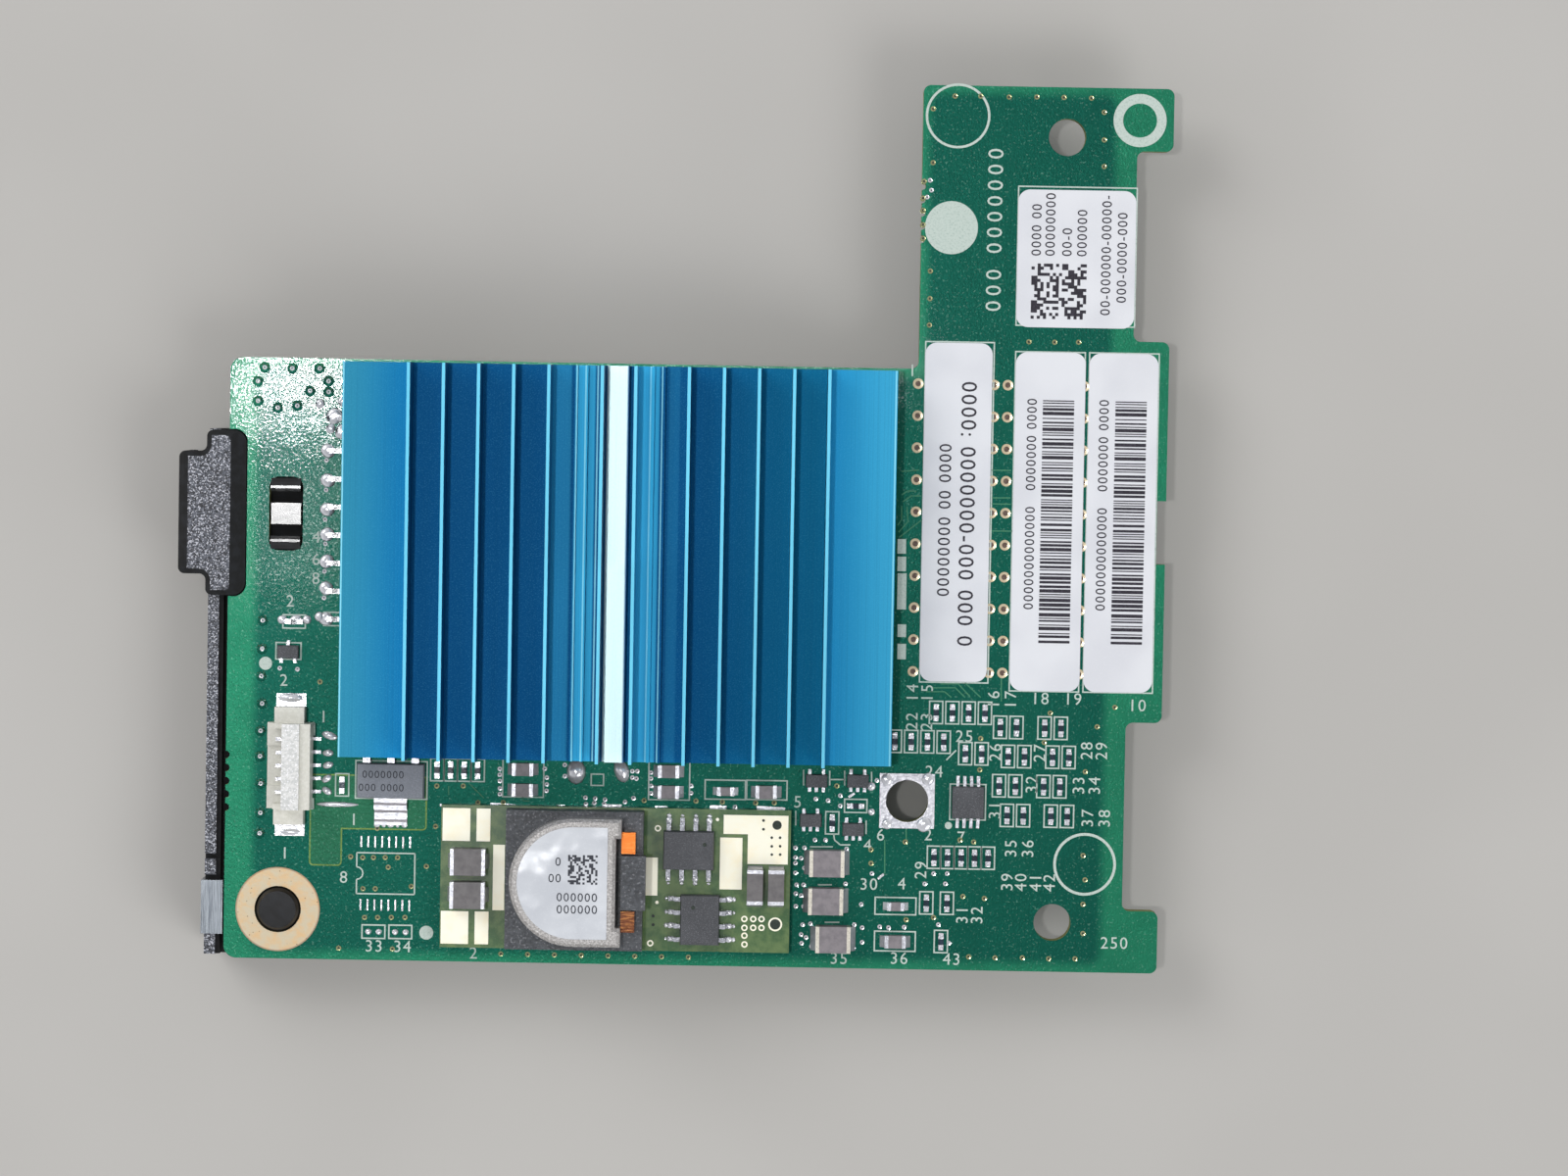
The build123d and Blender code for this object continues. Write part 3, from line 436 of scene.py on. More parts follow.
@dataclass(frozen=True)
class ModuleMask(Finish):
    """Olive lacquer on the power module's own board."""

    name: str = "module_mask"
    tone: Colour = paint(98, 124, 76)
    patches: Grain = Grain(0.6, 3.0, 0.6)
    patch_veil: Veil = Veil(0.35, 0.65, paint(62, 98, 58))
    specks: Grain = Grain(7.0, 2.0, 0.6)
    speck_veil: Veil = Veil(0.55, 0.8, paint(130, 142, 84), 0.3)
    speck_relief: Relief = Relief(0.006, 0.6)
    roughness: float = 0.22

    def lay(self, recipe: Recipe) -> None:
        """Lays the lacquer.

        Args:
            recipe: The material's recipe.
        """
        specks = recipe.noise(self.specks)
        tone = recipe.veil(self.tone, recipe.noise(self.patches), self.patch_veil)
        recipe.set(Base_Color=recipe.veil(tone, specks, self.speck_veil), Roughness=self.roughness,
                   IOR=RESIN_IOR)
        recipe.bump(specks, self.speck_relief)


@dataclass(frozen=True)
class BlueAnodised(Finish):
    """Dyed extruded aluminium, with painted shade in the channels, painted light on the ledges, a painted
    highlight along the middle and painted highlights on the fin tips.
    """

    name: str = "blue_anodised"
    centre_x: float = -4.95
    # Ledge tones, inner edge and outer edge: the dye with painted light, lighter outwards and on the right.
    left_ledge_lit: tuple[Colour, Colour] = (paint(18, 126, 182), paint(46, 136, 168))
    right_ledge_lit: tuple[Colour, Colour] = (paint(34, 142, 192), paint(56, 160, 202))
    ledge: Point = (19.5, 25.9)
    ledge_blur: float = 0.1
    middle: Point = (-5.0, 5.0)
    # Painted shade in the channels, and painted light that lightens them towards the right.
    channel: Colour = paint(3, 84, 138)
    channel_light_veil: Veil = Veil(4.0, 20.0, paint(6, 108, 150))
    # Painted highlight along the middle: bright bands, each with its share.
    crown_highlight: Colour = paint(72, 206, 255)
    crown_highlight_bands: tuple[tuple[float, float, float], ...] = ((-6.3, -4.5, 0.22), (-4.1, -2.3, 0.6),
                                                           (1.6, 3.7, 0.55), (4.6, 5.6, 0.1))
    band_blur: float = 0.12
    # Painted highlight lines along the fin crests and the ledge edges.
    highlight_crests: tuple[float, ...] = (-25.8, -3.99, -3.17, -2.07, 2.86, 3.95, 25.75)
    crest_highlight_veil: Veil = Veil(0.1, 0.03, paint(150, 232, 250), 0.8)
    # Painted highlights: a pale band in the middle, then the fin tips.
    heart_highlight: Point = (-1.15, 0.75)
    pale: Colour = paint(226, 255, 255)
    tip_highlight_veil: Veil = Veil(16.19, 16.33, paint(112, 206, 236))
    drawn: Grain = Grain(1.0, 3.0, 0.65, (7.0, 0.02, 0.4))
    drawn_veil: Veil = Veil(0.55, 0.35, paint(0, 60, 104), 0.14)
    drawn_relief: Relief = Relief(0.006, 0.5)
    grain: Grain = Grain(8.0, 2.0, 0.7)
    grain_veil: Veil = Veil(0.48, 0.75, paint(90, 196, 230), 0.14)
    grain_relief: Relief = Relief(0.004, 0.4)
    metal: float = 0.45
    heart_metal: float = 0.5
    roughness: Point = (0.12, 0.4)

    def band(self, recipe: Recipe, offset: Socket, low: float, high: float) -> Socket:
        """Mask of one strip along the extrusion.

        Args:
            recipe: The material's recipe.
            offset: Distance from the middle along X.
            low: Left edge of the strip.
            high: Right edge of the strip.

        Returns:
            The mask, 1 in the strip.
        """
        blur = self.band_blur
        rising = recipe.rise(offset, low - blur, low + blur)
        return recipe.times(rising, recipe.rise(offset, high + blur, high - blur))

    def lay(self, recipe: Recipe) -> None:
        """Lays the dyed metal with its painted light and shade, from the channels up to the fin tips.

        Args:
            recipe: The material's recipe.
        """
        offset = recipe.maths("SUBTRACT", recipe.x, self.centre_x)
        spread = recipe.maths("ABSOLUTE", offset)
        start, end = self.ledge
        outer = recipe.rise(spread, start - self.ledge_blur, start + self.ledge_blur)
        outward = recipe.rise(spread, start, end)
        # Painted light on the ledges and painted shade in the channels.
        ledge = recipe.mix(recipe.rise(offset, *self.middle), recipe.mix(outward, *self.left_ledge_lit),
                           recipe.mix(outward, *self.right_ledge_lit))
        tone = recipe.mix(outer, recipe.veil(self.channel, offset, self.channel_light_veil), ledge)
        # Painted highlights: bands along the middle, lines on the crests, the pale middle band and the fin
        # tips.
        for low, high, share in self.crown_highlight_bands:
            tone = recipe.mix(recipe.times(self.band(recipe, offset, low, high), share), tone, self.crown_highlight)
        for crest in self.highlight_crests:
            tone = recipe.veil(tone, recipe.away(offset, crest), self.crest_highlight_veil)
        heart_highlight = self.band(recipe, offset, *self.heart_highlight)
        tone = recipe.mix(heart_highlight, tone, self.pale)
        tone = recipe.veil(tone, recipe.z, self.tip_highlight_veil)
        drawn, grain = recipe.noise(self.drawn), recipe.noise(self.grain)
        tone = recipe.veil(tone, drawn, self.drawn_veil)
        tone = recipe.veil(tone, grain, self.grain_veil)
        metal = recipe.maths("ADD", self.metal, recipe.times(heart_highlight, self.heart_metal))
        recipe.set(Base_Color=tone, Metallic=metal, Anisotropic=0.4, Specular_IOR_Level=0.08,
                   Roughness=recipe.maths("MULTIPLY_ADD", drawn, *self.roughness))
        recipe.bump(drawn, self.drawn_relief)
        recipe.bump(grain, self.grain_relief)


@dataclass(frozen=True)
class ClipPlastic(Finish):
    """Black moulding: spark-eroded grain with painted glints on the outer faces, smooth and glossy elsewhere.
    """

    name: str = "clip_nylon"
    smooth: Colour = paint(12, 13, 15)
    cloud: Grain = Grain(1.2, 2.0, 0.5)
    cloud_veil: Veil = Veil(0.35, 0.7, paint(26, 28, 32))
    cloud_relief: Relief = Relief(0.01, 0.3)
    grained: Colour = paint(36, 38, 45)
    grain: Grain = Grain(4.4, 2.0, 0.6)
    grain_veil: Veil = Veil(0.42, 0.6, paint(98, 102, 112))
    grain_relief: Relief = Relief(0.08, 0.8)
    # Painted glints: pale specks on the grained faces.
    painted_glints: Grain = Grain(6.2, 1.0, 0.5)
    painted_glint_veil: Veil = Veil(0.56, 0.64, paint(214, 216, 226), 0.8)
    level_slope: Point = (0.95, 0.99)
    tab_level: Point = (8.44, 8.46)
    tab_left: Point = (-45.74, -45.66)
    tab_middle: float = 0.36
    tab_corner: Point = (-34.63, -34.83)
    bar_level: Point = (7.23, 7.25)
    bar_right: Point = (-42.69, -42.72)
    glossy_edge: Point = (-40.0, -40.1)
    deep_level: Point = (6.9, 6.7)
    gloss: Point = (0.16, 0.8)
    grained_roughness: float = 0.42

    def lay(self, recipe: Recipe) -> None:
        """Lays the plastic: first where the grain is, then both tones.

        Args:
            recipe: The material's recipe.
        """
        level = recipe.rise(recipe.up, *self.level_slope)
        slope = recipe.maths("ADD", recipe.away(recipe.y, self.tab_middle), recipe.x)
        tab = recipe.times(recipe.rise(recipe.z, *self.tab_level), recipe.rise(slope, *self.tab_corner))
        bar = recipe.times(recipe.rise(recipe.z, *self.bar_level), recipe.rise(recipe.x, *self.bar_right))
        outside = recipe.times(level, recipe.rise(recipe.x, *self.tab_left))
        grained = recipe.times(outside, recipe.most(tab, bar))
        grain, cloud = recipe.noise(self.grain), recipe.noise(self.cloud)
        rough_tone = recipe.veil(self.grained, grain, self.grain_veil)
        rough_tone = recipe.veil(rough_tone, recipe.noise(self.painted_glints), self.painted_glint_veil)
        smooth_tone = recipe.veil(self.smooth, cloud, self.cloud_veil)
        deep = recipe.most(recipe.rise(recipe.x, *self.glossy_edge), recipe.rise(recipe.z, *self.deep_level))
        gloss = recipe.mix(deep, grey(self.gloss[0]), grey(self.gloss[1]))
        recipe.set(Base_Color=recipe.mix(grained, smooth_tone, rough_tone), IOR=RESIN_IOR,
                   Roughness=recipe.mix(grained, gloss, grey(self.grained_roughness)))
        recipe.bump(recipe.times(grain, grained), self.grain_relief)
        recipe.bump(cloud, self.cloud_relief)


@dataclass(frozen=True)
class Moulded(Finish):
    """Moulded plastic with a grain, a few painted glints and a chosen gloss."""

    tone: Colour
    lighter: Colour
    roughness: float
    grain_scale: float
    grain_depth: float
    # Share of painted glints, pale specks in the colour.
    painted_glints: float = 0.0
    spread: float = 0.2
    strength: float = 0.8
    grain_steps: Point = (0.4, 0.8)
    grain_share: float = 0.6
    clouds: Grain = Grain(0.5, 3.0, 0.55)
    cloud_steps: Point = (0.4, 0.7)
    cloud_share: float = 0.3
    glint_finer: float = 1.7
    glint_steps: Point = (0.66, 0.74)
    glint: Colour = paint(226, 226, 234)

    def lay(self, recipe: Recipe) -> None:
        """Lays the plastic.

        Args:
            recipe: The material's recipe.
        """
        grain = recipe.noise(Grain(self.grain_scale, 2.0, 0.65))
        tone = recipe.veil(self.tone, grain, Veil(*self.grain_steps, self.lighter, self.grain_share))
        cloud_veil = Veil(*self.cloud_steps, self.lighter, self.cloud_share)
        tone = recipe.veil(tone, recipe.noise(self.clouds), cloud_veil)
        # Painted glints: pale specks.
        if self.painted_glints:
            glints = recipe.noise(Grain(self.grain_scale * self.glint_finer, 0.0))
            tone = recipe.veil(tone, glints, Veil(*self.glint_steps, self.glint, self.painted_glints))
        recipe.set(Base_Color=tone, IOR=RESIN_IOR,
                   Roughness=recipe.around(grain, self.roughness, self.spread))
        recipe.bump(grain, Relief(self.grain_depth, self.strength))


@dataclass(frozen=True)
class IvoryNylon(Finish):
    """Header moulding: creamy sides and a paler top strip with painted glints."""

    name: str = "ivory_nylon"
    grain: Grain = Grain(3.4, 2.0, 0.65)
    relief: Relief = Relief(0.02, 0.7)
    body: Colour = paint(214, 213, 202)
    body_veil: Veil = Veil(0.4, 0.75, paint(226, 225, 216))
    strip: Colour = paint(206, 208, 206)
    strip_veil: Veil = Veil(0.4, 0.6, paint(230, 230, 228))
    strip_level: Point = (10.8, 10.9)
    # Painted glints on the top strip.
    painted_glints: Grain = Grain(5.0, 1.0)
    painted_glint_veil: Veil = Veil(0.58, 0.66, paint(250, 250, 252))
    roughness: float = 0.34

    def lay(self, recipe: Recipe) -> None:
        """Lays the plastic.

        Args:
            recipe: The material's recipe.
        """
        grain = recipe.noise(self.grain)
        pale = recipe.veil(self.strip, grain, self.strip_veil)
        pale = recipe.veil(pale, recipe.noise(self.painted_glints), self.painted_glint_veil)
        plain = recipe.veil(self.body, grain, self.body_veil)
        top = recipe.rise(recipe.z, *self.strip_level)
        recipe.set(Base_Color=recipe.mix(top, plain, pale), Roughness=self.roughness, IOR=RESIN_IOR)
        recipe.bump(grain, self.relief)


@dataclass(frozen=True)
class FiredCeramic(Finish):
    """Chip glaze with faint clouds and tiny pores."""

    tone: Colour
    shade: Colour
    roughness: float
    clouds: Grain = Grain(1.4, 3.0, 0.6)
    cloud_steps: Point = (0.35, 0.7)
    pore_scale: float = 9.0
    pore_veil: Veil = Veil(0.2, 0.05, paint(60, 56, 60), 0.4)
    pore_relief: Relief = Relief(0.008, 0.4)

    def lay(self, recipe: Recipe) -> None:
        """Lays the glaze.

        Args:
            recipe: The material's recipe.
        """
        pores = recipe.cells(self.pore_scale)
        tone = recipe.veil(self.tone, recipe.noise(self.clouds), Veil(*self.cloud_steps, self.shade))
        recipe.set(Base_Color=recipe.veil(tone, pores, self.pore_veil), Roughness=self.roughness,
                   IOR=CERAMIC_IOR)
        recipe.bump(pores, self.pore_relief)


@dataclass(frozen=True)
class Plated(Finish):
    """Bare or plated metal with faint smears and fine pits."""

    tone: Colour
    tarnish: Colour
    roughness: float
    metal: float = 0.7
    smear_scale: float = 1.6
    pit_scale: float = 6.0
    pit_depth: float = 0.01
    spread: float = 0.16
    strength: float = 0.7
    smear_steps: Point = (0.4, 0.75)
    smear_share: float = 0.6

    def lay(self, recipe: Recipe) -> None:
        """Lays the metal.

        Args:
            recipe: The material's recipe.
        """
        smear = recipe.noise(Grain(self.smear_scale, 3.0, 0.6))
        tone = recipe.veil(self.tone, smear, Veil(*self.smear_steps, self.tarnish, self.smear_share))
        recipe.set(Base_Color=tone, Metallic=self.metal,
                   Roughness=recipe.around(smear, self.roughness, self.spread))
        recipe.bump(recipe.noise(Grain(self.pit_scale, 2.0, 0.6)), Relief(self.pit_depth, self.strength))


@dataclass(frozen=True)
class BrushedSteel(Finish):
    """Sheet steel with lines drawn along its length."""

    name: str = "brushed_steel"
    tone: Colour = paint(140, 146, 152)
    lines: Grain = Grain(1.0, 3.0, 0.7, (9.0, 0.25, 1.2))
    line_veil: Veil = Veil(0.4, 0.65, paint(97, 103, 111))
    line_relief: Relief = Relief(0.01, 0.6)
    roughness: Point = (0.2, 0.22)
    metal: float = 0.75

    def lay(self, recipe: Recipe) -> None:
        """Lays the steel.

        Args:
            recipe: The material's recipe.
        """
        lines = recipe.noise(self.lines)
        recipe.set(Base_Color=recipe.veil(self.tone, lines, self.line_veil), Metallic=self.metal,
                   Roughness=recipe.maths("MULTIPLY_ADD", lines, *self.roughness))
        recipe.bump(lines, self.line_relief)


@dataclass(frozen=True)
class EnamelledCopper(Finish):
    """Flat winding wire, bright orange at its upper end and browned at the lower."""

    name: str = "winding_copper"
    browned: Colour = paint(104, 54, 24)
    bright_veil: Veil = Veil(-34.5, -32.5, paint(224, 118, 34))
    lines: Grain = Grain(1.0, 2.0, 0.6, (1.0, 6.0, 6.0))
    line_veil: Veil = Veil(0.45, 0.7, paint(246, 170, 92), 0.35)
    line_relief: Relief = Relief(0.02, 0.5)
    metal: float = 0.5
    roughness: float = 0.28

    def lay(self, recipe: Recipe) -> None:
        """Lays the enamelled copper.

        Args:
            recipe: The material's recipe.
        """
        lines = recipe.noise(self.lines)
        tone = recipe.veil(self.browned, recipe.y, self.bright_veil)
        recipe.set(Base_Color=recipe.veil(tone, lines, self.line_veil), Metallic=self.metal,
                   Roughness=self.roughness)
        recipe.bump(lines, self.line_relief)


@dataclass(frozen=True)
class SpeckledMetal(Finish):
    """Cast or sprayed metal with light and dark specks."""

    tone: Colour
    speck: Colour
    metal: float
    scale: float = 5.0
    depth: float = 0.03
    strength: float = 0.8
    speck_steps: Point = (0.42, 0.7)
    light_finer: float = 1.6
    light_veil: Veil = Veil(0.6, 0.68, paint(246, 246, 248), 0.35)
    roughness: float = 0.36

    def lay(self, recipe: Recipe) -> None:
        """Lays the metal.

        Args:
            recipe: The material's recipe.
        """
        specks = recipe.noise(Grain(self.scale, 2.0, 0.7))
        tone = recipe.veil(self.tone, specks, Veil(*self.speck_steps, self.speck))
        tone = recipe.veil(tone, recipe.noise(Grain(self.scale * self.light_finer, 1.0)), self.light_veil)
        recipe.set(Base_Color=tone, Metallic=self.metal, Roughness=self.roughness)
        recipe.bump(specks, Relief(self.depth, self.strength))


@dataclass(frozen=True)
class PlatedRing(Finish):
    """Bare copper washer land: cream face, dark specks and a darker rim."""

    name: str = "washer_copper"
    centre: Point = (-36.8, -37.1)
    face: Colour = paint(198, 186, 160)
    clouds: Grain = Grain(0.9, 3.0, 0.6)
    warm_veil: Veil = Veil(0.35, 0.7, paint(210, 178, 134))
    dot_scale: float = 1.9
    dot_veil: Veil = Veil(0.14, 0.07, paint(92, 74, 56), 0.75)
    rim_veil: Veil = Veil(3.8, 3.96, paint(120, 84, 66), 0.6)
    grain: Grain = Grain(5.0, 2.0, 0.6)
    relief: Relief = Relief(0.01, 0.6)
    metal: float = 0.35
    roughness: float = 0.4

    def lay(self, recipe: Recipe) -> None:
        """Lays the copper.

        Args:
            recipe: The material's recipe.
        """
        away = [recipe.maths("SUBTRACT", value, middle)
                for value, middle in zip((recipe.x, recipe.y), self.centre)]
        tone = recipe.veil(self.face, recipe.noise(self.clouds), self.warm_veil)
        tone = recipe.veil(tone, recipe.cells(self.dot_scale), self.dot_veil)
        tone = recipe.veil(tone, recipe.length(*away), self.rim_veil)
        recipe.set(Base_Color=tone, Metallic=self.metal, Roughness=self.roughness)
        recipe.bump(recipe.noise(self.grain), self.relief)


@dataclass(frozen=True)
class GlossPaper(Finish):
    """White label stock with slight waves and fibres."""

    name: str = "label_stock"
    tone: Colour = paint(232, 234, 239)
    shade: Colour = paint(222, 224, 230)
    wave_depth: float = 0.2
    wave_scale: float = 0.16
    roughness: float = 0.38
    wave_strength: float = 0.5
    wave_steps: Point = (0.35, 0.7)
    fibres: Grain = Grain(4.0, 3.0, 0.6)
    fibre_veil: Veil = Veil(0.5, 0.8, paint(236, 237, 242), 0.25)
    fibre_relief: Relief = Relief(0.004, 0.4)

    def lay(self, recipe: Recipe) -> None:
        """Lays the label stock.

        Args:
            recipe: The material's recipe.
        """
        wave, fibres = recipe.noise(Grain(self.wave_scale, 2.0, 0.4)), recipe.noise(self.fibres)
        tone = recipe.veil(self.tone, wave, Veil(*self.wave_steps, self.shade))
        recipe.set(Base_Color=recipe.veil(tone, fibres, self.fibre_veil), Roughness=self.roughness,
                   IOR=PAPER_IOR)
        recipe.bump(wave, Relief(self.wave_depth, self.wave_strength))
        recipe.bump(fibres, self.fibre_relief)


@dataclass(frozen=True)
class Ink(Finish):
    """Printed ink, uneven in its cover."""

    tone: Colour
    worn: Colour
    cover: Grain = Grain(5.0, 3.0, 0.7)
    worn_steps: Point = (0.45, 0.75)
    relief: Relief = Relief(0.01, 0.5)
    roughness: float = 0.55

    def lay(self, recipe: Recipe) -> None:
        """Lays the ink.

        Args:
            recipe: The material's recipe.
        """
        cover = recipe.noise(self.cover)
        tone = recipe.veil(self.tone, cover, Veil(*self.worn_steps, self.worn))
        recipe.set(Base_Color=tone, Roughness=self.roughness, IOR=PAPER_IOR)
        recipe.bump(cover, self.relief)


@dataclass(frozen=True)
class Cast:
    """The set of finished materials, by the name of the finish."""

    made: dict[str, bpy.types.Material]

    @staticmethod
    def build() -> "Cast":
        """Makes every finish once.

        Returns:
            The set.
        """
        kinds = {
            "mask": SolderMask(),
            "module": ModuleMask(),
            "anodised": BlueAnodised(),
            "clip": ClipPlastic(),
            "package": Moulded("moulded_epoxy", paint(62, 64, 69), paint(92, 94, 99), 0.5, 7.0, 0.02, 0.15),
            "regulator": Moulded("grey_epoxy", paint(120, 125, 134), paint(148, 153, 162), 0.5, 6.0, 0.02,
                                 0.1),
            "receptacle": Moulded("receptacle_plastic", paint(30, 28, 27), paint(50, 47, 45), 0.45, 4.0,
                                  0.02),
            "ivory": IvoryNylon(),
            "ferrite": Moulded("rough_ferrite", paint(52, 55, 60), paint(106, 110, 116), 0.42, 2.8, 0.07,
                               0.16),
            "ceramic": FiredCeramic("capacitor_ceramic", paint(136, 130, 134), paint(118, 113, 118), 0.42),
            "dark_ceramic": FiredCeramic("module_ceramic", paint(110, 107, 108), paint(93, 90, 92), 0.42),
            "film": FiredCeramic("resistor_glaze", paint(30, 42, 54), paint(46, 62, 78), 0.14),
            "rubber": Moulded("thermal_rubber", paint(122, 128, 136), paint(146, 152, 160), 0.7, 3.0, 0.03),
            "tin": Plated("bright_tin", paint(204, 205, 212), paint(146, 148, 158), 0.3, 0.7, 2.6, 5.0, 0.03),
            "lead": Plated("soldered_lead", paint(168, 170, 178), paint(72, 76, 84), 0.3, 0.4, 4.2, 5.0,
                           0.03),
            # Darker tin for strips of painted shade.
            "bend": Plated("tin_in_shade", paint(140, 138, 142), paint(120, 118, 122), 0.4, 0.4, 2.6),
            "cream_tin": Plated("cream_tin", paint(214, 209, 196), paint(168, 162, 150), 0.3, 0.5, 4.0),
            "solder": Plated("solder_joint", paint(246, 247, 252), paint(206, 208, 216), 0.18, 0.6, 1.6, 3.0,
                             0.03),
            "steel": BrushedSteel(),
            # Flash gold painted near white: a pale gold tint with painted glare on top.
            "gold": Plated("flash_gold_and_glare", paint(255, 252, 232), paint(255, 242, 204), 0.32, 0.12, 0.5, 5.0,
                           0.003),
            "copper": PlatedRing(),
            "winding": EnamelledCopper(),
            "barrel": Plated("via_ring", paint(226, 210, 178), paint(204, 180, 140), 0.22, 0.3, 3.0),
            "amber": Plated("amber_ring", paint(186, 190, 142), paint(104, 110, 66), 0.16, 0.6, 3.4),
            "cover": SpeckledMetal("sprayed_cover", paint(154, 151, 149), paint(203, 200, 198), 0.25),
            "land": SpeckledMetal("tinned_land", paint(216, 216, 222), paint(176, 178, 186), 0.6, 2.2, 0.05),
            "stock": GlossPaper(),
            "film_label": GlossPaper("film_label", paint(214, 218, 224), paint(202, 206, 213), 0.7, 0.22,
                                     0.2),
            "silk": Ink("white_ink", paint(200, 214, 206), paint(166, 188, 178)),
            "print": Ink("black_print", paint(34, 30, 42), paint(66, 62, 76)),
            "code": Ink("grey_print", paint(48, 51, 60), paint(80, 84, 94)),
            "trace": Ink("lacquered_trace", paint(52, 126, 96), paint(80, 138, 92)),
            # Painted shade for holes, dimples and the floors of the small vias.
            "hollow": Ink("painted_hole_shade", paint(36, 46, 40), paint(60, 70, 62)),
            "plug": Ink("hole_lining", paint(92, 72, 62), paint(132, 114, 102)),
        }
        return Cast({key: kind.make() for key, kind in kinds.items()})

    def __getitem__(self, key: str) -> bpy.types.Material:
        """The finish of that name."""
        return self.made[key]


@dataclass(frozen=True)
class Solid:
    """Lowest and highest corner of one solid, in millimetres."""

    low: Vector
    high: Vector

    @property
    def middle(self) -> Vector:
        """Centre of the solid."""
        return (self.low + self.high) / 2

    @property
    def size(self) -> Vector:
        """Extent of the solid."""
        return self.high - self.low


def solids_of(node: str) -> list[Solid]:
    """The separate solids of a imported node, found from its triangles.

    Args:
        node: The node's name.

    Returns:
        The solids, ordered by place.
    """
    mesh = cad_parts[node].data
    parent: dict[tuple[int, ...], tuple[int, ...]] = {}

    def root(key: tuple[int, ...]) -> tuple[int, ...]:
        """Leader of the group that holds the key."""
        while parent[key] != key:
            parent[key] = parent[parent[key]]
            key = parent[key]
        return key

    keys = [tuple(round(value * WELD_STEPS) for value in vertex.co) for vertex in mesh.vertices]
    for key in keys:
        parent.setdefault(key, key)
    for polygon in mesh.polygons:
        first = root(keys[polygon.vertices[0]])
        for index in polygon.vertices[1:]:
            parent[root(keys[index])] = first
    groups: dict[tuple[int, ...], list[Vector]] = {}
    for key, vertex in zip(keys, mesh.vertices):
        groups.setdefault(root(key), []).append(vertex.co / MM)
    found = []
    for points in groups.values():
        low = Vector([min(point[axis] for point in points) for axis in range(3)])
        high = Vector([max(point[axis] for point in points) for axis in range(3)])
        found.append(Solid(low, high))
    return sorted(found, key=lambda solid: (round(solid.low.x, 2), round(solid.low.y, 2)))


@dataclass(frozen=True)
class Via:
    """Sizes of a via's ring: radii, height, depth of its sunk floor and number of sides."""

    outer: float
    inner: float
    height: float
    sunk: float
    sides: int


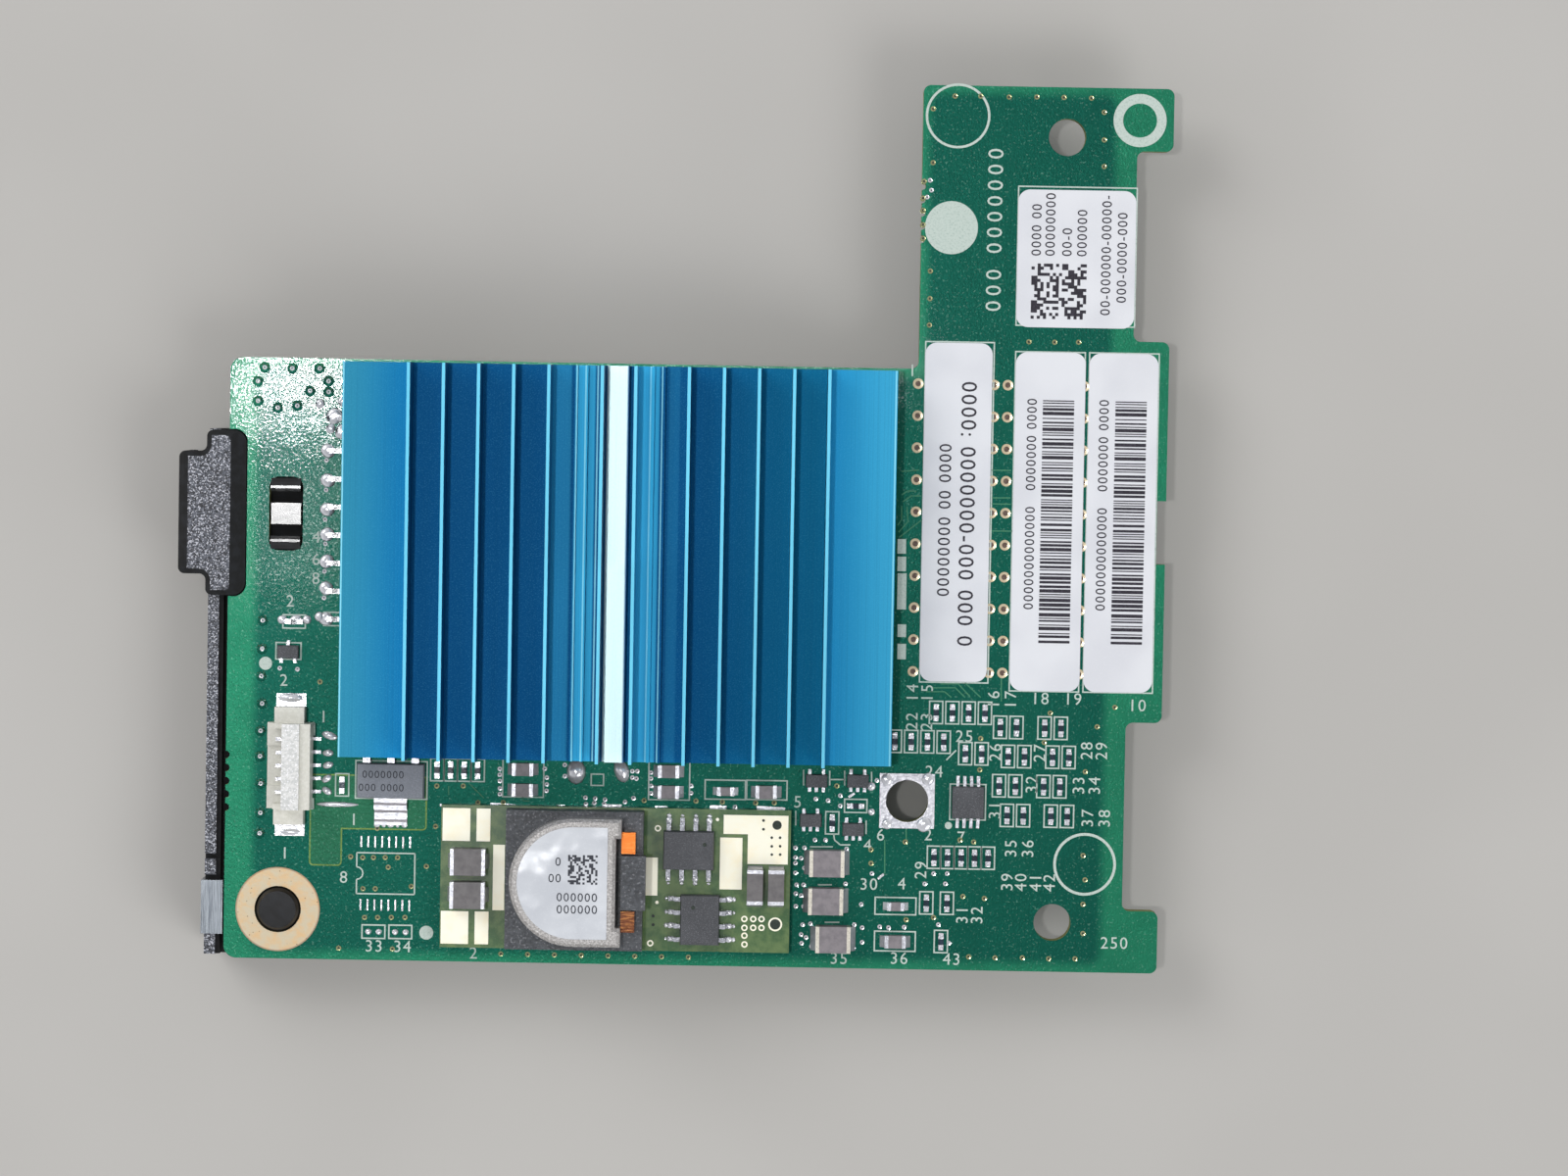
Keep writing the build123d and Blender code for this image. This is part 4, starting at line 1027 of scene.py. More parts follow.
class Bench:
    """Modelling by operators: primitives, edit-mode shaping, copies and joins. Sizes are in millimetres."""

    def __init__(self, cast: Cast) -> None:
        """Keeps the finishes.

        Args:
            cast: The set of finished materials.
        """
        self.cast = cast

    def clear(self) -> None:
        """Deselects every object."""
        for chosen in list(bpy.context.selected_objects):
            chosen.select_set(False)

    def plate(self, length: float, width: float) -> Thing:
        """A flat rectangle at the origin."""
        self.clear()
        bpy.ops.mesh.primitive_plane_add(size=MM, location=(0, 0, 0))
        made = bpy.context.active_object
        made.data.transform(Matrix.Diagonal((length, width, 1, 1)))
        return made

    def disc(self, radius: float, sides: int) -> Thing:
        """A flat filled circle at the origin."""
        self.clear()
        bpy.ops.mesh.primitive_circle_add(vertices=sides, radius=radius * MM, fill_type="NGON")
        return bpy.context.active_object

    def block(self, length: float, width: float, height: float) -> Thing:
        """A box that stands on the origin's level."""
        self.clear()
        bpy.ops.mesh.primitive_cube_add(size=MM, location=(0, 0, 0))
        made = bpy.context.active_object
        made.data.transform(Matrix.Diagonal((length, width, height, 1)))
        return self.put(made, 0, 0, height / 2)

    def put(self, piece: Thing, x: float, y: float, z: float, turn: float = 0.0) -> Thing:
        """Moves a piece's mesh to its place.

        Args:
            piece: The piece.
            x: Move along X.
            y: Move along Y.
            z: Move along Z.
            turn: Turn about Z in degrees, made before the move.

        Returns:
            The piece.
        """
        place = Matrix.Translation((x * MM, y * MM, z * MM))
        piece.data.transform(place @ Matrix.Rotation(math.radians(turn), 4, "Z"))
        return piece

    def shape(self, piece: Thing, steps: Callable[[], object]) -> Thing:
        """Runs edit-mode steps on one object.

        Args:
            piece: The object.
            steps: The edit-mode work.

        Returns:
            The object.
        """
        self.clear()
        piece.select_set(True)
        bpy.context.view_layer.objects.active = piece
        bpy.ops.object.mode_set(mode="EDIT")
        bpy.ops.mesh.select_mode(type="FACE")
        steps()
        bpy.ops.object.mode_set(mode="OBJECT")
        return piece

    def pick(self, test: Callable[[bmesh.types.BMFace], bool] = lambda face: True) -> None:
        """Selects the faces that pass the test, all if there is none, in edit mode."""
        mesh = bmesh.from_edit_mesh(bpy.context.active_object.data)
        for face in mesh.faces:
            face.select_set(bool(test(face)))
        bmesh.update_edit_mesh(bpy.context.active_object.data)

    def lift(self, height: float) -> None:
        """Extrudes the picked faces upwards, in edit mode."""
        bpy.ops.mesh.extrude_region_move(TRANSFORM_OT_translate={"value": (0, 0, height * MM)})

    def raised(self, piece: Thing, height: float) -> Thing:
        """Gives a flat piece its height."""
        return self.shape(piece, lambda: (self.pick(), self.lift(height)))

    def rim(self, piece: Thing, line: float, height: float) -> Thing:
        """Turns a flat piece into a raised outline.

        Args:
            piece: The flat piece.
            line: Width of the line.
            height: Height of the line.

        Returns:
            The outline.
        """

        def steps() -> None:
            """Insets the piece, removes its middle and raises the rim."""
            self.pick()
            bpy.ops.mesh.inset(thickness=line * MM)
            bpy.ops.mesh.delete(type="FACE")
            self.pick()
            self.lift(height)

        return self.shape(piece, steps)

    def route(self, points: Sequence[Point], width: float, height: float, level: float) -> list[Thing]:
        """Raised lines along a run of points.

        Args:
            points: The points.
            width: Width of the lines.
            height: Height of the lines.
            level: The level they lie on.

        Returns:
            The lines, in place.
        """
        lines = []
        for start, end in zip(points, points[1:]):
            run, middle = Vector(end) - Vector(start), (Vector(start) + Vector(end)) / 2
            line = self.raised(self.plate(run.length, width), height)
            lines.append(self.put(line, *middle, level, math.degrees(math.atan2(run.y, run.x))))
        return lines

    def puck(self, x: float, y: float, level: float, radius: float, height: float, sides: int) -> Thing:
        """A thin round plate in place."""
        return self.put(self.raised(self.disc(radius, sides), height), x, y, level)

    def ring(self, outer: float, inner: float, height: float, sides: int) -> Thing:
        """A raised open ring."""
        return self.rim(self.disc(outer, sides), outer - inner, height)

    def cup(self, via: Via, finishes: Sequence[str]) -> Thing:
        """A raised ring round a sunk floor of a second finish.

        Args:
            via: Its sizes.
            finishes: Finish of the rim and of the floor.

        Returns:
            The ring, centred on the origin.
        """

        def steps() -> None:
            """Raises the disc, insets its top and sinks the middle."""
            self.pick()
            self.lift(via.height)
            bpy.ops.mesh.inset(thickness=(via.outer - via.inner) * MM)
            bpy.ops.transform.translate(value=(0, 0, -via.sunk * MM))

        made = self.shape(self.disc(via.outer, via.sides), steps)
        self.coat(made, finishes)
        floor = (via.height - via.sunk) * MM
        for polygon in made.data.polygons:
            low = polygon.center.length < via.inner * MM / 2 and abs(polygon.center.z - floor) < CLOSE
            polygon.material_index = 1 if low and polygon.normal.z > 0.5 else 0
        return made

    def dome(self, length: float, width: float, height: float, subdivisions: int = 2) -> Thing:
        """A flattened drop cut at the level it stands on.

        Args:
            length: Size along X.
            width: Size along Y.
            height: Height above the level.
            subdivisions: Fineness of the ball it starts from.

        Returns:
            The drop, centred on the origin.
        """
        self.clear()
        bpy.ops.mesh.primitive_ico_sphere_add(subdivisions=subdivisions, radius=MM / 2)
        made = bpy.context.active_object
        made.data.transform(Matrix.Diagonal((length, width, 2 * height, 1)))
        cut = {"plane_co": (0, 0, 0), "plane_no": (0, 0, 1), "clear_inner": True, "use_fill": True}
        self.shape(made, lambda: (self.pick(), bpy.ops.mesh.bisect(**cut)))
        for polygon in made.data.polygons:
            polygon.use_smooth = polygon.normal.z > -LEVEL
        return made

    def wedge(self, length: float, width: float, height: float) -> Thing:
        """A solder fillet that falls away along +X from the origin.

        Args:
            length: Reach along X.
            width: Size along Y.
            height: Height at the origin's side.

        Returns:
            The fillet.
        """

        def steps() -> None:
            """Cuts the slope in two falls, the foot flatter than the throat."""
            for share, fall in FILLET_FALLS:
                self.pick()
                bpy.ops.mesh.bisect(plane_co=((share - 0.5) * length * MM, 0, height * (1 - share) * MM),
                                    plane_no=(fall * height, 0, FILLET_LEAN * length),
                                    clear_outer=True, use_fill=True)

        return self.put(self.shape(self.block(length, width, height), steps), length / 2, 0, 0)

    def stamp(self, master: Thing, name: str, places: Iterable[tuple[float, ...]]) -> Thing:
        """Copies a master to each place and joins the copies.

        Args:
            master: The modelled original, which is used up.
            name: Name of the joined piece.
            places: X, Y, Z and, where it is turned, a turn in degrees.

        Returns:
            The joined piece.
        """
        copies = []
        for place in places:
            copy = bpy.data.objects.new(name, master.data.copy())
            bpy.context.scene.collection.objects.link(copy)
            copies.append(self.put(copy, *place))
        bpy.data.objects.remove(master)
        return self.join(copies, name)

    def join(self, parts: Sequence[Thing], name: str) -> Thing:
        """Joins objects into one.

        Args:
            parts: The objects.
            name: Name of the result.

        Returns:
            The joined object.
        """
        self.clear()
        for part in parts:
            part.select_set(True)
        bpy.context.view_layer.objects.active = parts[0]
        if len(parts) > 1:
            bpy.ops.object.join()
        parts[0].name = name
        return parts[0]

    def digits(self, text: str, size: float, height: float, spacing: float = 1.15) -> Thing:
        """Plain figures as thin raised ink, reading along +X from the origin.

        Args:
            text: The figures.
            size: Height of a figure.
            height: Thickness of the ink.
            spacing: Spacing of the figures.

        Returns:
            The figures as a mesh.
        """
        self.clear()
        bpy.ops.object.text_add(location=(0, 0, 0))
        made = bpy.context.active_object
        made.data.body = text
        made.data.size = size * MM / FIGURE_SHARE
        made.data.resolution_u = 3
        made.data.extrude = height / 2 * MM
        made.data.space_character = spacing
        bpy.ops.object.convert(target="MESH")
        return self.put(bpy.context.active_object, 0, 0, height / 2)

    def coat(self, piece: Thing, finishes: Sequence[str]) -> None:
        """Gives a bare piece its material slots.

        Args:
            piece: The piece.
            finishes: Names of its finishes, in slot order.
        """
        for finish in finishes:
            piece.data.materials.append(self.cast[finish])

    def hand_in(self, parts: Sequence[Thing], name: str, finish: str | None, slot: Slot | None) -> None:
        """Joins a piece, dresses it and puts it on the card.

        Args:
            parts: What the piece is joined from.
            name: The piece's name.
            finish: Its finish, left out if it has one.
            slot: The record's slot, if one fits. Not used.
        """
        piece = self.join(parts, name)
        if finish:
            self.coat(piece, (finish,))
        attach(piece, "root")
        LOG.info("%s: %d faces", piece.name, len(piece.data.polygons))


@dataclass
class Nodes:
    """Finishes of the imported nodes."""

    bench: Bench

    def dress(self) -> None:
        """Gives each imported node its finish."""
        groups = {
            "mask": ("board",),
            "module": ("module_board",),
            "anodised": ("heat_sink",),
            "clip": ("edge_clip",),
            "steel": ("edge_latch",),
            "regulator": ("regulator_body",),
            "package": ("controller", "driver_body", "switch_body", "memory_body",
                        "gate_bodies", "transistor_body"),
            "receptacle": ("connector_housings",),
            "ivory": ("header_housing",),
            "ferrite": ("inductor_base",),
            "cover": ("inductor_cover",),
            "ceramic": ("capacitor_bodies", "bulk_bodies", "bead_bodies"),
            "dark_ceramic": ("module_capacitor_bodies",),
            "film": ("resistor_bodies",),
            "rubber": ("thermal_pad",),
            "cream_tin": ("bulk_terminals",),
            "tin": ("capacitor_terminals", "module_capacitor_terminals", "bead_terminals",
                    "resistor_terminals", "memory_leads", "gate_leads", "transistor_leads", "regulator_leads",
                    "header_contacts"),
            "lead": ("driver_leads", "switch_leads"),
            "solder": ("module_lands", "header_tabs"),
            "gold": ("module_pads", "connector_contacts"),
            "copper": ("locating_ring",),
            "winding": ("inductor_winding",),
            "land": ("ground_land",),
            "stock": ("label_left", "label_middle", "label_right", "label_code"),
            "film_label": ("inductor_label",),
        }
        for finish, names in groups.items():
            for name in names:
                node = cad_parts[name]
                node.data.materials.clear()
                node.data.materials.append(self.bench.cast[finish])
                LOG.info("%s dressed as %s", name, finish)


@dataclass
class BoardPrint:
    """White ink on the board: part outlines, rings, dots and plain figures."""

    bench: Bench
    top: float = 7.6
    line: float = 0.13
    ink: float = 0.02
    cell_length: float = 2.25
    cell_width: float = 1.38
    column_edge: float = -31.5
    column_end: float = -8.5
    figure: float = 1.15
    ring_sides: int = 48
    dot_sides: int = 40
    long_row: tuple[str, float, float, float, float] = ("000 0000000", 30.6, 20.6, 1.5, 1.42)
    # Part outlines: centre X and Y, size X and Y.
    frames: tuple[Box, ...] = (
        (-13.72, -24.05, 4.0, 4.15), (0.1, -24.0, 4.0, 4.3), (5.42, -25.03, 3.95, 1.95),
        (9.36, -25.0, 3.95, 1.95), (21.74, -35.8, 4.0, 1.75), (21.74, -39.15, 4.0, 2.0),
        (-27.7, -39.1, 2.3, 1.4), (-25.15, -39.08, 2.3, 1.4), (-6.7, -24.3, 1.3, 1.2),
        (28.4, -25.8, 3.5, 3.5), (-36.1, -12.6, 2.5, 1.7), (-26.2, -24.65, 6.9, 3.7),
        (37.68, 25.9, 11.3, 13.2), (26.85, 1.6, 6.6, 32.3), (35.4, 0.85, 6.7, 32.2), (42.38, 0.85, 6.7, 32.2)
    )
    # Lines, each from point to point.
    runs: tuple[tuple[Point, ...], ...] = (
        ((-29.37, -32.95), (-29.37, -31.61), (-23.87, -31.61), (-23.87, -35.5), (-29.37, -35.5),
         (-29.37, -34.15)),
        ((-29.37, -32.95), (-29.07, -33.03), (-28.85, -33.25), (-28.77, -33.55), (-28.85, -33.85),
         (-29.07, -34.07), (-29.37, -34.15)),
        ((-34.72, -19.42), (-33.56, -19.4), (-33.54, -20.58)),
        ((-34.07, -27.53), (-33.56, -27.52), (-33.58, -26.5)), ((14.35, -33.91), (15.68, -33.88)),
        ((15.06, -37.46), (16.45, -37.44)), ((13.55, -30.31), (15.71, -30.27)),
        ((15.76, -29.07), (15.85, -29.62), (16.4, -30.08), (17.37, -30.06)),
        ((12.8, -23.01), (12.83, -24.49)), ((15.28, -23.06), (15.3, -24.45)),
        ((16.69, -23.03), (16.72, -24.42)), ((19.24, -23.08), (19.26, -24.1)),
        ((12.13, -26.91), (12.15, -28.3)), ((26.3, -21.85), (27.21, -20.9)),
        ((15.29, -23.89), (16.71, -23.87)), ((18.81, -27.72), (18.83, -29.01))
    )
    # Solid bars: centre X and Y, width and length.
    bars: tuple[Box, ...] = (
        (21.71, -1.69, 0.81, 1.38), (21.74, -3.35, 0.81, 1.37), (21.79, -5.95, 0.85, 3.42),
        (21.86, -9.66, 0.81, 1.19), (21.88, -11.64, 0.81, 1.47)
    )
    # Rings: centre X and Y, outer and inner radius.
    circles: tuple[Box, ...] = (
        (26.26, 38.94, 3.05, 2.82), (39.58, -31.52, 2.98, 2.72), (43.4, 38.8, 2.5, 1.6)
    )
    # Dots: centre X and Y, radius.
    spots: tuple[Place, ...] = (
        (-38.25, -13.8, 0.62), (-22.69, -39.11, 0.66), (26.61, -28.06, 0.34), (25.83, 28.43, 2.5)
    )
    # Reference figures: text, X, Y and turn.
    notes: tuple[tuple[str, float, float, int], ...] = (
        ("25", 27.1, -20.1, 0), ("24", 24.3, -23.5, 0), ("18", 34.2, -16.4, 0), ("19", 37.3, -16.4, 0),
        ("10", 43.4, -16.9, 0), ("1", 22.0, 14.4, 0), ("26", 31.45, -21.9, 90), ("27", 35.65, -21.9, 90),
        ("28", 40.1, -21.6, 90), ("29", 41.5, -21.6, 90), ("32", 34.95, -24.9, 90), ("33", 39.4, -24.9, 90),
        ("34", 40.9, -24.9, 90), ("31", 31.5, -27.4, 90), ("37", 40.3, -28.0, 90), ("38", 41.9, -28.0, 90),
        ("35", 33.1, -31.0, 90), ("36", 34.7, -31.0, 90), ("39", 32.8, -34.2, 90), ("40", 34.1, -34.2, 90),
        ("41", 35.5, -34.2, 90), ("42", 36.8, -34.2, 90), ("29", 24.6, -33.2, 90), ("31", 28.6, -37.4, 90),
        ("32", 30.0, -37.4, 90), ("7", 27.4, -29.7, 0), ("2", 24.3, -29.5, 0), ("4", 21.9, -34.2, 0),
        ("36", 21.3, -41.3, 0), ("43", 26.3, -41.3, 0), ("35", 15.6, -41.4, 0), ("30", 18.3, -34.3, 0),
        ("4", 18.6, -30.6, 0), ("5", 11.9, -26.6, 0), ("6", 19.8, -29.6, 0), ("33", -28.5, -41.0, 0),
        ("34", -25.8, -41.0, 0), ("2", -18.6, -41.5, 0), ("8", -31.0, -34.5, 0), ("1", -30.1, -29.0, 0),
        ("2", -36.9, -15.9, 0), ("1", -33.1, -19.3, 0), ("2", -36.4, -8.4, 0), ("1", -36.6, -32.3, 0),
        ("16", 31.2, -16.9, 90), ("17", 32.8, -16.9, 90), ("15", 24.9, -16.4, 90), ("14", 23.5, -16.4, 90),
        ("250", 41.2, -39.5, 0), ("23", 24.9, -19.1, 90), ("22", 23.5, -19.1, 90), ("4", -34.0, -2.3, 0),
        ("6", -34.0, -4.4, 0), ("8", -34.0, -6.2, 0)
    )

    def cells(self) -> list[Box]:
        """Outlines round the chip parts: centre X and Y, size X and Y.

        Returns:
            The outlines.
        """
        found = []
        for solid in solids_of("resistor_bodies"):
            middle = solid.middle
            if middle.x < self.column_edge and middle.y > self.column_end:
                continue
            sizes = (self.cell_width, self.cell_length)
            found.append((middle.x, middle.y, *(sizes if solid.size.x < solid.size.y else sizes[::-1])))
        return found

    def outlines(self) -> list[Thing]:
        """Outlines, lines and bars.

        Returns:
            The marks.
        """
        made = []
        for x, y, length, width in (*self.cells(), *self.frames):
            made.append(self.bench.put(self.bench.rim(self.bench.plate(length, width), self.line, self.ink),
                                       x, y, self.top))
        for run in self.runs:
            made += self.bench.route(run, self.line, self.ink, self.top)
        for x, y, width, length in self.bars:
            made += self.bench.route(((x, y - length / 2), (x, y + length / 2)), width, self.ink, self.top)
        return made

    def figures(self) -> list[Thing]:
        """Plain reference figures beside the parts, and the long row on the wing.

        Returns:
            The figures.
        """
        made = [self.bench.put(self.bench.digits(text, self.figure, self.ink), x, y, self.top, turn)
                for text, x, y, turn in self.notes]
        text, x, y, size, spacing = self.long_row
        made.append(self.bench.put(self.bench.digits(text, size, self.ink, spacing), x, y, self.top, QUARTER))
        return made

    def build(self) -> None:
        """Builds the ink."""
        outlines = self.outlines()
        rings = [self.bench.put(self.bench.ring(outer, inner, self.ink, self.ring_sides), x, y, self.top)
                 for x, y, outer, inner in self.circles]
        dots = [self.bench.puck(x, y, self.top, radius, self.ink, self.dot_sides)
                for x, y, radius in self.spots]
        for parts, name in ((outlines, "ink_outlines"), (rings, "ink_rings"), (dots, "ink_dots"),
                            (self.figures(), "ink_figures")):
            self.bench.hand_in(parts, name, "silk", None)


@dataclass
class BoardMetal:
    """Vias, bare pads, solder lumps and fillets on the board."""

    bench: Bench
    top: float = 7.6
    under: float = 6.0
    film: float = 0.02
    sink: float = 0.01
    big_via: Via = Via(0.5, 0.27, 0.045, 0.03, 18)
    plain_via: Via = Via(0.25, 0.12, 0.045, 0.02, 12)
    bright_via: Via = Via(0.22, 0.08, 0.045, 0.02, 12)
    # Columns of vias over the connectors: X of each, first and last Y, number.
    columns: tuple[float, ...] = (22.98, 30.14, 31.44, 38.65)
    column_ends: Point = (-13.5, 13.7)
    column_count: int = 10
    collared: int = 19
    collar: Place = (1.05, 1.05, 0.03)
    collar_sink: float = 0.004
    collar_fineness: int = 3
    # What is drawn on the underside, and what stays clear of the connectors.
    under_span: Point = (-31.0, 43.0)
    housing_spans: tuple[Point, ...] = ((20.2, 27.9), (28.7, 36.4))
    housing_reach: float = 17.0
    under_line: float = 0.2
    under_size: float = 1.6
    under_routes: tuple[tuple[Point, ...], ...] = (
        ((19.6, 13.2), (19.6, -17.4), (37.4, -17.4), (37.4, 17.4), (24.2, 17.4)),
        ((28.3, -16.6), (28.3, -18.6)), ((-8.0, 4.0), (-8.0, -8.0), (6.0, -8.0), (6.0, 4.0), (-8.0, 4.0)))
    under_figures: tuple[tuple[str, float, float], ...] = (("1", 18.2, -16.2), ("2", 38.6, -16.2),
                                                           ("40", 40.6, 15.4), ("3", -9.4, 2.8))
    # Strips of painted shade along the folds of the regulator's tab: Y and level, and both ends along X.
    fold_shades: tuple[Point, ...] = ((-26.86, 8.5), (-27.62, 7.82), (-28.5, 7.8))
    bend_ends: Point = (-27.75, -24.65)
    bend_line: Point = (0.24, 0.015)
    # Solder along the tab's foot: first place, step, and length of each drop.
    foot_start: Point = (-27.5, -28.98)
    foot_step: float = 0.65
    foot_drops: tuple[float, ...] = (0.6, 0.44, 0.66, 0.4, 0.58)
    foot_size: Point = (0.42, 0.2)
    # Drops at each package foot: share of the way out, length, width and height.
    lead_drops: tuple[Box, ...] = ((0.55, 0.66, 0.56, 0.3), (1.35, 0.36, 0.44, 0.16))
    lead_growth: tuple[float, ...] = (0.84, 1.16, 1.0)
    # Empty places: pads of the eight-by-two footprint, and bare chip pads.
    pad: Place = (0.15, 1.05, 0.05)
    pad_rim: float = 0.03
    pad_swell: float = 0.04
    pad_start: float = -28.96
    pad_step: float = 0.66
    pad_count: int = 8
    pad_rows: Point = (-30.55, -36.55)
    chip_pad: Place = (0.6, 0.6, 0.1)
    chip_pads: tuple[float, ...] = (-28.2, -27.2, -25.65, -24.65)
    chip_row: float = -39.1
    # Fillets at the metal ends of each kind of chip part: length, width and height.
    fillet_sizes: tuple[tuple[str, Place], ...] = (
        ("resistor", (0.32, 0.46, 0.26)), ("capacitor", (0.45, 1.1, 0.5)), ("bead", (0.4, 0.75, 0.45)),
        ("bulk", (0.5, 2.3, 0.8)), ("module_capacitor", (0.3, 1.4, 0.7)))
    bottom_row: tuple[float, float, float, int] = (-15.59, -41.01, 2.54, 8)
    plated: tuple[Point, ...] = (
        (-21.89, -25.14), (-19.39, -25.1), (-17.97, -26.65), (-15.57, -26.6), (-2.24, -26.19), (2.67, -26.15),
        (5.17, -26.2), (8.32, -26.23), (10.08, -26.2), (15.98, -24.48), (19.32, -30.49), (19.35, -31.78),
        (22.55, -29.69), (22.77, -37.09), (25.36, -36.82), (27.73, -29.41), (29.03, -29.58), (29.51, -19.75),
        (29.47, -22.72), (28.1, -34.78), (30.14, -34.93), (39.42, -30.69), (39.65, -33.0), (39.5, -35.32),
        (39.55, -38.1), (40.5, -18.45), (42.14, -16.57), (35.53, -20.02), (39.47, -22.73), (36.04, -17.23),
        (-33.08, -15.47), (-27.47, -29.27), (-29.95, -32.0), (-28.81, -32.07), (-27.79, -32.05),
        (-26.68, -32.03), (-25.5, -32.01), (-26.38, -32.95), (-28.75, -35.03), (-27.58, -35.01),
        (-24.17, -34.73), (-22.77, -32.8), (-21.95, -28.99), (-28.56, -37.76), (-27.32, -37.74),
        (-26.02, -37.71), (-24.73, -37.69), (-30.97, -40.72), (-25.88, -40.72), (23.99, 34.51), (23.9, 39.56),
        (25.95, 40.79), (28.36, 40.83), (31.04, 40.79), (33.64, 40.84), (36.19, 40.84), (38.78, 40.82),
        (40.01, 39.51), (40.06, 36.92), (40.1, 34.42), (23.92, 24.32), (23.93, 21.73), (23.92, 19.23),
        (33.34, 17.82), (35.77, 17.82), (38.02, 17.86), (28.76, -40.51), (31.26, -40.56), (33.85, -40.51),
        (36.35, -40.56), (38.85, -40.52), (23.18, 32.74), (23.12, 31.16), (23.14, 30.01), (23.17, 28.66),
        (23.19, 27.37)
    )
    bright: tuple[Point, ...] = (
        (-38.69, 14.16), (-36.09, 14.11), (-33.5, 14.15), (-39.31, 12.85), (-39.28, 11.0), (-37.42, 10.38),
        (-35.57, 10.6), (-32.65, 12.96), (-32.63, 11.95), (-34.39, 12.01), (-38.57, -9.74), (-38.59, -12.42),
        (-38.64, -15.01), (-38.53, -17.61), (-38.64, -20.2), (-38.66, -22.61), (-38.56, -25.2),
        (-38.56, -27.98), (-38.6, -29.92), (-15.95, -23.42), (-15.94, -23.97), (-15.92, -24.57),
        (-15.91, -25.27), (-15.9, -25.82), (-11.69, -23.34), (-11.49, -24.17), (-11.48, -24.82),
        (-11.51, -25.42), (-9.8, -22.94), (-9.78, -24.0), (-3.4, -23.43), (-2.93, -23.42), (-3.39, -24.03),
        (-3.01, -24.12), (-7.8, -26.01), (-6.87, -26.08), (-5.94, -26.16), (-7.74, -26.61), (-6.95, -26.5),
        (-6.03, -26.58), (-4.04, -26.36), (-3.26, -25.97), (-1.64, -23.54), (-1.63, -24.09), (-1.61, -24.79),
        (-1.6, -25.48), (2.18, -24.72), (2.19, -25.41), (6.38, -26.64), (12.16, -30.43), (13.01, -30.41),
        (12.18, -31.35), (12.72, -31.41), (12.19, -31.88), (13.04, -32.33), (12.2, -32.81), (12.34, -33.94),
        (12.99, -33.93), (12.27, -34.78), (12.78, -34.95), (12.29, -35.98), (13.03, -35.97), (12.97, -37.73),
        (13.71, -37.62), (12.84, -38.66), (13.31, -38.93), (12.9, -39.49), (13.84, -39.75), (17.01, -30.44),
        (16.94, -32.1), (16.97, -33.77), (17.01, -36.08), (18.49, -35.69), (18.62, -37.91), (18.64, -39.3),
        (17.82, -39.87), (17.87, -37.64), (16.32, -25.4), (16.33, -26.37), (15.17, -25.88), (14.01, -25.76),
        (14.0, -29.65), (15.0, -29.64), (19.31, -24.56), (19.76, -23.9), (19.45, -32.75), (25.29, -32.65),
        (26.58, -32.63), (24.47, -33.64), (26.42, -33.6), (20.28, -37.79), (21.12, -37.86), (22.6, -37.79),
        (25.83, -37.5), (26.88, -39.25), (-32.75, 5.5), (-32.75, 2.7), (-32.8, -0.1), (-32.75, -2.4),
        (-32.8, -5.0), (-32.8, -7.5), (23.74, 32.84), (23.88, 31.92), (23.49, 31.26), (-36.9, -14.24),
        (-35.23, -14.31)
    )
    # Bare solder on pads: X, Y, length, width and height.
    header_lumps: tuple[float, ...] = (6.4, 3.6, 0.85, -1.5, -4.05, -6.6, -9.5)
    header_lump: Box = (-32.6, 1.5, 1.35, 0.3)
    drop_turns: tuple[int, ...] = (-34, -17, 0, 17, 34)
    long_drop: float = 2.0
    drops: tuple[tuple[float, ...], ...] = (
        (-33.43, 10.84, 0.9, 1.0, 0.16), (-32.05, 9.68, 1.7, 1.6, 0.16), (-31.34, 11.06, 0.9, 1.0, 0.16),
        (-32.39, 8.49, 0.9, 1.0, 0.16), (-31.38, 8.23, 1.2, 1.5, 0.16), (-36.72, -9.63, 1.0, 0.9, 0.3),
        (-35.48, -9.61, 1.3, 0.9, 0.3), (-34.4, -9.6, 0.9, 0.9, 0.3), (-33.2, -9.3, 1.0, 1.0, 0.35),
        (-32.1, -20.55, 1.6, 0.8, 0.3), (-32.24, -22.2, 1.1, 0.7, 0.3), (-32.22, -23.35, 1.1, 0.7, 0.3),
        (-32.32, -24.63, 1.1, 0.7, 0.3), (-32.3, -25.79, 1.1, 0.7, 0.3), (-31.3, -27.07, 4.2, 0.5, 0.2),
        (-8.72, -23.57, 1.9, 2.5, 0.9), (-4.42, -23.4, 1.5, 2.4, 0.9), (-35.8, -17.0, 2.7, 0.9, 0.5),
        (-35.7, -29.75, 2.6, 0.8, 0.35), (19.22, -24.47, 0.9, 0.9, 0.3), (24.6, -23.7, 1.3, 1.3, 0.25),
        (20.7, -23.8, 1.2, 1.3, 0.25), (24.3, -28.0, 1.6, 1.5, 0.3), (20.8, -28.0, 1.1, 1.1, 0.25),
        (19.3, -26.9, 0.7, 0.7, 0.2)
    )
